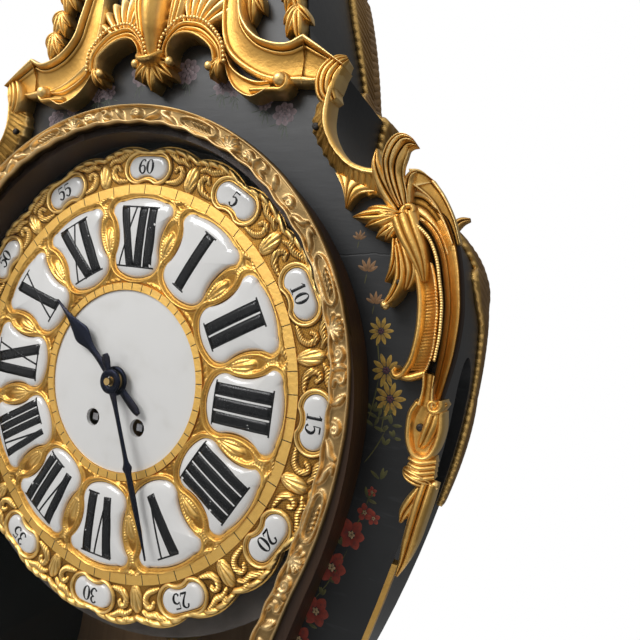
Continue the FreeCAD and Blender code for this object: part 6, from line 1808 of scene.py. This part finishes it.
@dataclass
class Bezel:
    """The cast and chased bezel round the glazed door."""

    finishes: Finishes
    radius: float = 130.0
    width: float = 12.0
    squeeze: float = 0.78
    low: float = 14.0
    ground: float = 2.3
    span: float = 98.0
    periods: int = 10
    columns: int = 180
    rows: int = 44

    def path(self) -> Tuple[Array, Array]:
        """The door's outline at even steps and the way inwards at each point.

        Returns:
            Points and unit vectors, right and up.
        """
        toe, hip, slant = (84, -193), (119.7, -63.7), self.radius * math.sqrt(0.5)
        side = np.vstack([arc_through((0, -214), (46.2, -208.5), toe, 60),
                          np.linspace(toe, hip, 80, endpoint=False),
                          arc_through(hip, (127.45, -31.85), (self.radius, 0), 40),
                          arc_through((self.radius, 0), (slant, slant), (0, self.radius), 120)])
        ring = np.vstack([side, (side * np.array([-1.0, 1.0]))[:0:-1], side[:1]])
        run = run_along(ring)
        line = at_runs(ring, run, np.linspace(0, run[-1], self.periods * self.columns, endpoint=False))
        ahead = np.roll(line, -9, 0) - np.roll(line, 9, 0)
        return line, unit(np.stack([-ahead[:, 1], ahead[:, 0]], -1))

    def wavy(self, s: Array) -> Array:
        """Way of the bezel's inner edge from its outer edge, lobed along the run."""
        return self.width - 1.6 + 0.45 * np.cos(2 * np.pi * s / 14) + 0.3 * np.cos(2 * np.pi * s / 49)

    def relief(self, s: Array, w: Array) -> Array:
        """Height over one repeat: drops, curls, spirals, a shell and a long cartouche between two rims.

        Args:
            s: Way along the repeat in millimetres.
            w: Way inwards from the outer edge.

        Returns:
            Heights over the bezel's seat.
        """
        spiral = np.column_stack([volute((25.5, 6.0), 150, 1.4, 3.4, 0.6, 12), np.full(12, 1.1),
                                  np.full(12, 2.8)])
        second = np.column_stack([volute((93.0, 6.2), 20, -1.3, 3.2, 0.6, 12), np.full(12, 1.1),
                                  np.full(12, 2.7)])
        drop = np.array([(5, 8.8, 0.8, 1.8), (6.5, 5.6, 1.8, 3.2), (8.4, 3.2, 0.9, 2.0)])
        hook = np.array([(12.4, 9.0, 0.8, 1.8), (15, 8.4, 1.2, 2.6), (15.4, 6.6, 1.2, 2.6),
                         (13.8, 5.2, 1.2, 2.6), (14.6, 3.4, 1.1, 2.4), (17.4, 3.0, 0.8, 1.8)])
        comma = np.array([(19.5, 3.2, 0.8, 1.8), (20.4, 5.8, 1.4, 2.8), (19.2, 8.8, 0.9, 2.0)])
        shell = [np.array([(36, 9.6, 0.5, 1.6), (36 + 5.4 * math.sin(a), 9.2 - 6.4 * math.cos(a), 1.2, 3.2)])
                 for a in np.radians((-70, -42, -14, 14, 42, 70))]
        frame_line = np.array([(45, 6, 0.8, 2.2), (47.5, 3.6, 0.9, 2.4), (56, 2.8, 0.9, 2.4),
                               (64.5, 3.6, 0.9, 2.4), (67, 6, 0.8, 2.2), (64.5, 8.6, 0.9, 2.4),
                               (56, 9.2, 0.9, 2.4), (47.5, 8.6, 0.9, 2.4), (45, 6, 0.8, 2.2)])
        spray = [np.array([(49.5 + 2.2 * k, 6.8, 0.4, 1.0), (51.6 + 2.2 * k, 4.9, 0.9, 2.0)])
                 for k in range(5)]
        curl = np.array([(70, 9.2, 0.8, 1.8), (72.5, 7.2, 1.4, 2.8), (76, 6.0, 1.5, 3.2),
                         (78.2, 3.8, 1.2, 2.6), (75.6, 3.2, 0.9, 2.0)])
        answer = np.array([(88, 9.2, 0.8, 1.8), (85.5, 7.4, 1.4, 2.8), (82.4, 6.0, 1.5, 3.2),
                           (81, 3.6, 1.0, 2.4)])
        lines = [spiral, second, drop, hook, comma, frame_line, curl, answer] + shell + spray
        ground = self.ground + 0.16 * np.cos(3.4 * s) * np.cos(4.1 * w)
        body = np.maximum(ground, self.ground + 0.1 + ridge_field(s, w, lines))
        rims = np.maximum(roll(w, 1.0, 1.0, self.ground + 2.3), roll(w, self.wavy(s), 1.2, self.ground + 2.6))
        return np.maximum(np.where(w < 1.0, 0, body), rims)

    def build(self) -> None:
        """Makes the bezel on the door."""
        line, inward = self.path()
        s = (self.span * np.arange(self.columns) / self.columns)[None, :]
        w = np.linspace(0, 1, self.rows)[:, None] * (self.wavy(s) + 1.2)
        height = np.tile(self.relief(s + 0 * w, w), (1, self.periods))
        overhang = np.interp(line[:, 1], (-70, 10, 60, 100, 130), (-4.3, -1.6, 1.2, 2.6, 3.0))
        reach = self.squeeze * np.tile(w, (1, self.periods)) - overhang
        flat = line[None] + inward[None] * reach[..., None]
        top = np.concatenate([flat, (self.low + height)[..., None]], -1)
        under = top[[-1, 0]].copy()
        under[..., 2] = self.low
        points = np.concatenate([top, under], 0)
        # relief: painted shade in hollows and on the low ground, painted highlight on the raised work
        over = np.clip((points[..., 2] - self.low - self.ground) / 2.4, 0, 1)
        relief = 0.62 * convexity(points, True, True, 3) + 0.42 * over - 0.04
        make_piece("bezel_chasing", [skin(points, True, True, relief=relief)], self.finishes.pale,
                   Seat("door", "gilt_bronze", ("door_bezel",)))


def petal(root: Union[Pair, Array], degrees: float, length: float, half: float, colours: Tint,
          lift: float = 0.14, bend: float = 0.0) -> Shell:
    """One stroke of the brush: a thin lens of paint from its root outwards, edges let into the panel.

    Its half width is the sine of the run, its height falls with the square of the way across.

    Args:
        root: Where the stroke starts, right and up.
        degrees: Its direction from right towards up.
        length: Its length.
        half: Its greatest half width.
        colours: Colour at the root and at the tip.
        lift: Thickness of the paint.
        bend: Sideways sweep of the tip.

    Returns:
        The stroke, open at its back inside the panel.
    """
    u, v = lattice(7, 5)
    width = half * np.sin(np.pi * np.clip(0.06 + 0.9 * u, 0, 1)) ** 0.8
    along, aside = length * u + 0 * v, width * v + bend * u ** 2
    c, s = heading(degrees)
    out = PANEL - 0.06 + (lift + 0.06) * (1 - v ** 2) * np.sin(np.pi * np.clip(0.05 + 0.9 * u, 0, 1))
    points = np.stack([root[0] + along * c - aside * s, root[1] + along * s + aside * c, out], -1)
    tint = (1 - u)[..., None] * np.array(colours[0]) + u[..., None] * np.array(colours[1])
    paint = np.broadcast_to(tint, points.shape) * (0.82 + 0.18 * np.abs(v))[..., None]
    return skin(points, relief=EVEN, paint=paint)


@dataclass
class PaintedFlowers:
    """Flowers painted on the black front: roses, buds, daisies, leaves and red blossoms."""

    finishes: Finishes
    lilac: Tint = ((0.13, 0.09, 0.10), (0.30, 0.235, 0.25))
    orange: Tint = ((0.20, 0.10, 0.04), (0.36, 0.20, 0.09))
    yellow: Tint = ((0.27, 0.15, 0.02), (0.47, 0.31, 0.06))
    plum: Tint = ((0.06, 0.02, 0.03), (0.10, 0.03, 0.05))
    olive: Tint = ((0.05, 0.055, 0.02), (0.14, 0.13, 0.04))
    red: Tint = ((0.20, 0.022, 0.014), (0.36, 0.06, 0.035))
    pale: Tint = ((0.36, 0.24, 0.12), (0.5, 0.36, 0.2))

    def build(self) -> None:
        """Makes all flowers on both sides of the front as one coat of paint."""
        strokes = self.roses() + self.buds() + self.daisies() + self.sprays() + self.blossoms()
        make_piece("painted_flower_coat", both_sides(strokes), self.finishes.brush,
                   Seat("case", "lacquered_wood"))

    def ring(self, middle: Pair, count: int, reach: float, half: float,
             colours: Tint, start: float = 0.0, root: float = 0.0, lift: float = 0.14) -> List[Shell]:
        """Petals round a middle.

        Args:
            middle: Right and up.
            count: Number of petals.
            reach: Length of a petal.
            half: Half width of a petal.
            colours: Colours at root and tip.
            start: Direction of the first petal.
            root: Distance of the roots from the middle.
            lift: Thickness of the paint.

        Returns:
            The petals.
        """
        turns = [start + 360.0 * k / count for k in range(count)]
        return [petal(middle + root * heading(a), a, reach * (1 + 0.12 * math.sin(3.1 * a)), half,
                      colours, lift) for a in turns]

    def roses(self) -> List[Shell]:
        """Lilac roses of three rings with pale grass strokes."""
        strokes = []
        for x, y, size in ((14.6, 156.4, 1.3), (36.0, 148.4, 0.9), (43.6, 146.4, 0.75), (61.0, 139.4, 0.75),
                           (72.0, 134.0, 1.1)):
            for k, a in enumerate((205, 228, 250, 275, 300, 330)):
                strokes.append(petal((x + size * 2 * math.cos(a), y - 3.5 * size), a,
                                     7 + 2.5 * math.sin(5 * k), 0.34,
                                     ((0.05, 0.06, 0.045), (0.12, 0.15, 0.10)), 0.08, 1.5 * math.sin(a)))
            strokes += self.ring((x, y), 8, 3.4 * size, 1.9 * size, self.lilac, 11, 2.2 * size, 0.14)
            strokes += self.ring((x, y), 6, 2.4 * size, 1.2 * size, self.lilac, 40, 1.0 * size, 0.19)
            strokes += self.ring((x, y), 4, 1.5 * size, 0.8 * size, self.lilac, 5, 0.2, 0.24)
        return strokes

    def buds(self) -> List[Shell]:
        """Orange buds of a few upright strokes."""
        strokes = []
        for x, y, size in ((115.8, 79.5, 0.8), (121.2, 66.4, 1.15), (126.2, 53.4, 1.0)):
            for a, reach in ((150, 4.6), (118, 5.2), (86, 5.6), (55, 5.4), (28, 4.6)):
                strokes.append(petal((x, y), a, reach * size, 0.85 * size, self.orange, 0.14, 0.3))
            strokes.append(petal((x, y), 265, 5 * size, 0.3, self.olive, 0.08))
        return strokes

    def daisies(self) -> List[Shell]:
        """Yellow daisies with dark plum middles."""
        strokes = []
        for x, y, size in ((130.6, 42.6, 0.95), (135.0, 27.0, 1.1), (138.2, 15.8, 1.15)):
            strokes += self.ring((x, y), 10, 5.2 * size, 1.15 * size, self.yellow, 8, 1.1 * size)
            strokes += self.ring((x, y), 5, 1.3 * size, 0.6 * size, self.plum, 0, 0.1, 0.22)
        return strokes

    def sprays(self) -> List[Shell]:
        """Olive leaves and stems under the daisies and the red blossoms."""
        stems = ((132.5, 27, 268, 24, -2.0), (137.6, 19, 262, 20, 1.5), (129, 43, 278, 16, 1.0),
                 (139, 6, 255, 22, -4.0), (136, -20, 262, 28, -5.0), (130, -45, 255, 34, -6.0))
        strokes = [petal((x, y), a, reach, 0.42, self.olive, 0.08, bend) for x, y, a, reach, bend in stems]
        for k, (x, y) in enumerate(((131.4, 9.6), (134.4, 7.0), (137.2, 9.4), (140.2, 5.4), (136.4, 2.4),
                                    (141.8, 0.6), (138.2, -3.4), (133.0, 3.4), (138.6, -17.5), (134, -26),
                                    (126.2, -48), (122.4, -63), (120.2, -71), (115.6, -84))):
            for a in (65 + 34 * math.sin(2.7 * k), 128 + 30 * math.sin(1.9 * k), 20 + 40 * math.sin(3.3 * k)):
                strokes.append(petal((x, y), a, 4.6 + 1.2 * math.sin(k), 0.95, self.olive, 0.11, 0.4))
        return strokes

    def blossoms(self) -> List[Shell]:
        """Red blossoms: open ones with pale middles and some buds."""
        strokes = []
        for x, y, size, count in ((135.9, -23.0, 0.45, 5), (134.0, -32.0, 0.75, 5), (138.0, -33.4, 0.6, 5),
                                  (129.6, -42.4, 1.3, 6), (123.0, -58.0, 1.45, 6), (118.6, -78.1, 1.35, 6),
                                  (112.6, -92.3, 1.3, 6), (108.8, -106, 1.1, 6), (103, -120, 1.0, 6),
                                  (98.2, -134, 1.1, 6)):
            strokes += self.ring((x, y), count, 4.2 * size, 2.1 * size, self.red, 20 * count, 0.8 * size)
            strokes += self.ring((x, y), 5, 1.2 * size, 0.5 * size, self.pale, 0, 0.15, 0.2)
        return strokes


@dataclass
class Studio:
    """The pale floor, soft lamps, white surroundings and the camera."""

    floor_level: float = -0.3
    floor_reach: float = 0.55
    floor_glow: float = 0.85
    ambient: float = 0.3
    room: float = 0.13
    window: float = 0.72
    eye: Place = (0.197982, -0.336836, 0.323208)
    right: Place = (0.90854, 0.39607, 0.13299)
    up: Place = (-0.12444, -0.04734, 0.99110)
    back: Place = (0.39884, -0.91700, 0.00627)
    lens: float = 31.114
    aim: Place = (0.05, -0.12, 0.28)

    def build(self) -> None:
        """Sets up the floor, lamps, world and camera."""
        self.floor()
        self.lamp("key_lamp", (-0.55, -1.15, 1.25), 0.8, 18.5)
        self.lamp("fill_lamp", (1.25, -0.85, 0.7), 1.1, 2.6)
        self.world()
        self.camera()
        bpy.context.scene.view_settings.view_transform = "Standard"

    def floor(self) -> None:
        """A plain sheet under the clock that looks near white and still takes its shadow."""
        r = self.floor_reach
        mesh = bpy.data.meshes.new("studio_floor")
        mesh.from_pydata([(-r, -r, self.floor_level), (r, -r, self.floor_level), (r, r, self.floor_level),
                          (-r, r, self.floor_level)], [], [(0, 1, 2, 3)])
        kit = FinishKit("studio_floor_paper")
        kit.dress(base_color=kit.blend(kit.noise(6.0), (0.82, 0.82, 0.82, 1), (0.86, 0.86, 0.86, 1)),
                  roughness=0.9)
        seen, mirrored = kit.seen()
        glow = kit.add("ShaderNodeEmission", inputs={"Color": (1, 1, 1, 1), "Strength": 1.0})
        share = self.floor_glow * seen.math("MAXIMUM", seen, mirrored)
        paper = kit.add("ShaderNodeMixShader", inputs={0: share, 1: Sock(kit, kit.shader.outputs[0]),
                                                       2: glow})
        kit.wire(kit.tree.nodes["Material Output"], {"Surface": paper})
        mesh.materials.append(kit.material)
        floor = bpy.data.objects.new("studio_floor", mesh)
        bpy.context.scene.collection.objects.link(floor)

    def lamp(self, name: str, place: Place, size: float, power: float) -> None:
        """A soft square lamp that faces the dial.

        Args:
            name: The lamp's name.
            place: Where it stands.
            size: Side of the square.
            power: Watts.
        """
        light = bpy.data.lights.new(name, "AREA")
        light.size, light.energy = size, power
        lamp = bpy.data.objects.new(name, light)
        aim = Vector(self.aim) - Vector(place)
        lamp.matrix_world = Matrix.Translation(place) @ aim.to_track_quat("-Z", "Y").to_matrix().to_4x4()
        bpy.context.scene.collection.objects.link(lamp)

    def world(self) -> None:
        """White for the eye and for glass; polished surfaces mirror a dim room with a light upper left."""
        world = bpy.data.worlds.new("studio")
        bpy.context.scene.world = world
        world.use_nodes = True
        kit = NodeKit(world.node_tree)
        seen, mirrored = kit.seen()
        facing = kit.add("ShaderNodeTexCoord", output="Generated")
        right = kit.add("ShaderNodeSeparateXYZ", inputs={0: facing})
        lit = 0.75 * right.beside("Z") - 0.45 * right - 0.4 * right.beside("Y")
        room = self.room + self.window * lit.eased(-0.3, 0.9)
        level = self.ambient + seen * (1 - self.ambient) + mirrored * (1 - seen) * (room - self.ambient)
        kit.wire(world.node_tree.nodes["Background"], {"Color": level})

    def camera(self) -> None:
        """The photographer's eye, worked out from the dial's circles."""
        lens = bpy.data.cameras.new("eye")
        lens.lens, lens.sensor_width, lens.clip_start = self.lens, 36.0, 0.01
        eye = bpy.data.objects.new("eye", lens)
        axes = Matrix((self.right, self.up, self.back)).transposed().to_4x4()
        eye.matrix_world = Matrix.Translation(self.eye) @ axes
        bpy.context.scene.collection.objects.link(eye)
        bpy.context.scene.camera = eye


def main() -> None:
    """Dresses the clock and sets up the studio."""
    logging.basicConfig(level=logging.INFO, format="%(message)s")
    finishes = Finishes()
    finishes.dress_solids()
    for dress in (DialDress, Hands, Bezel, CornerMounts, ShoulderScrolls, StripCarving, Crest, BracketCarving,
                  PaintedFlowers):
        dress(finishes).build()
    Studio().build()
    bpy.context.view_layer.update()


if __name__ == "__main__":
    main()
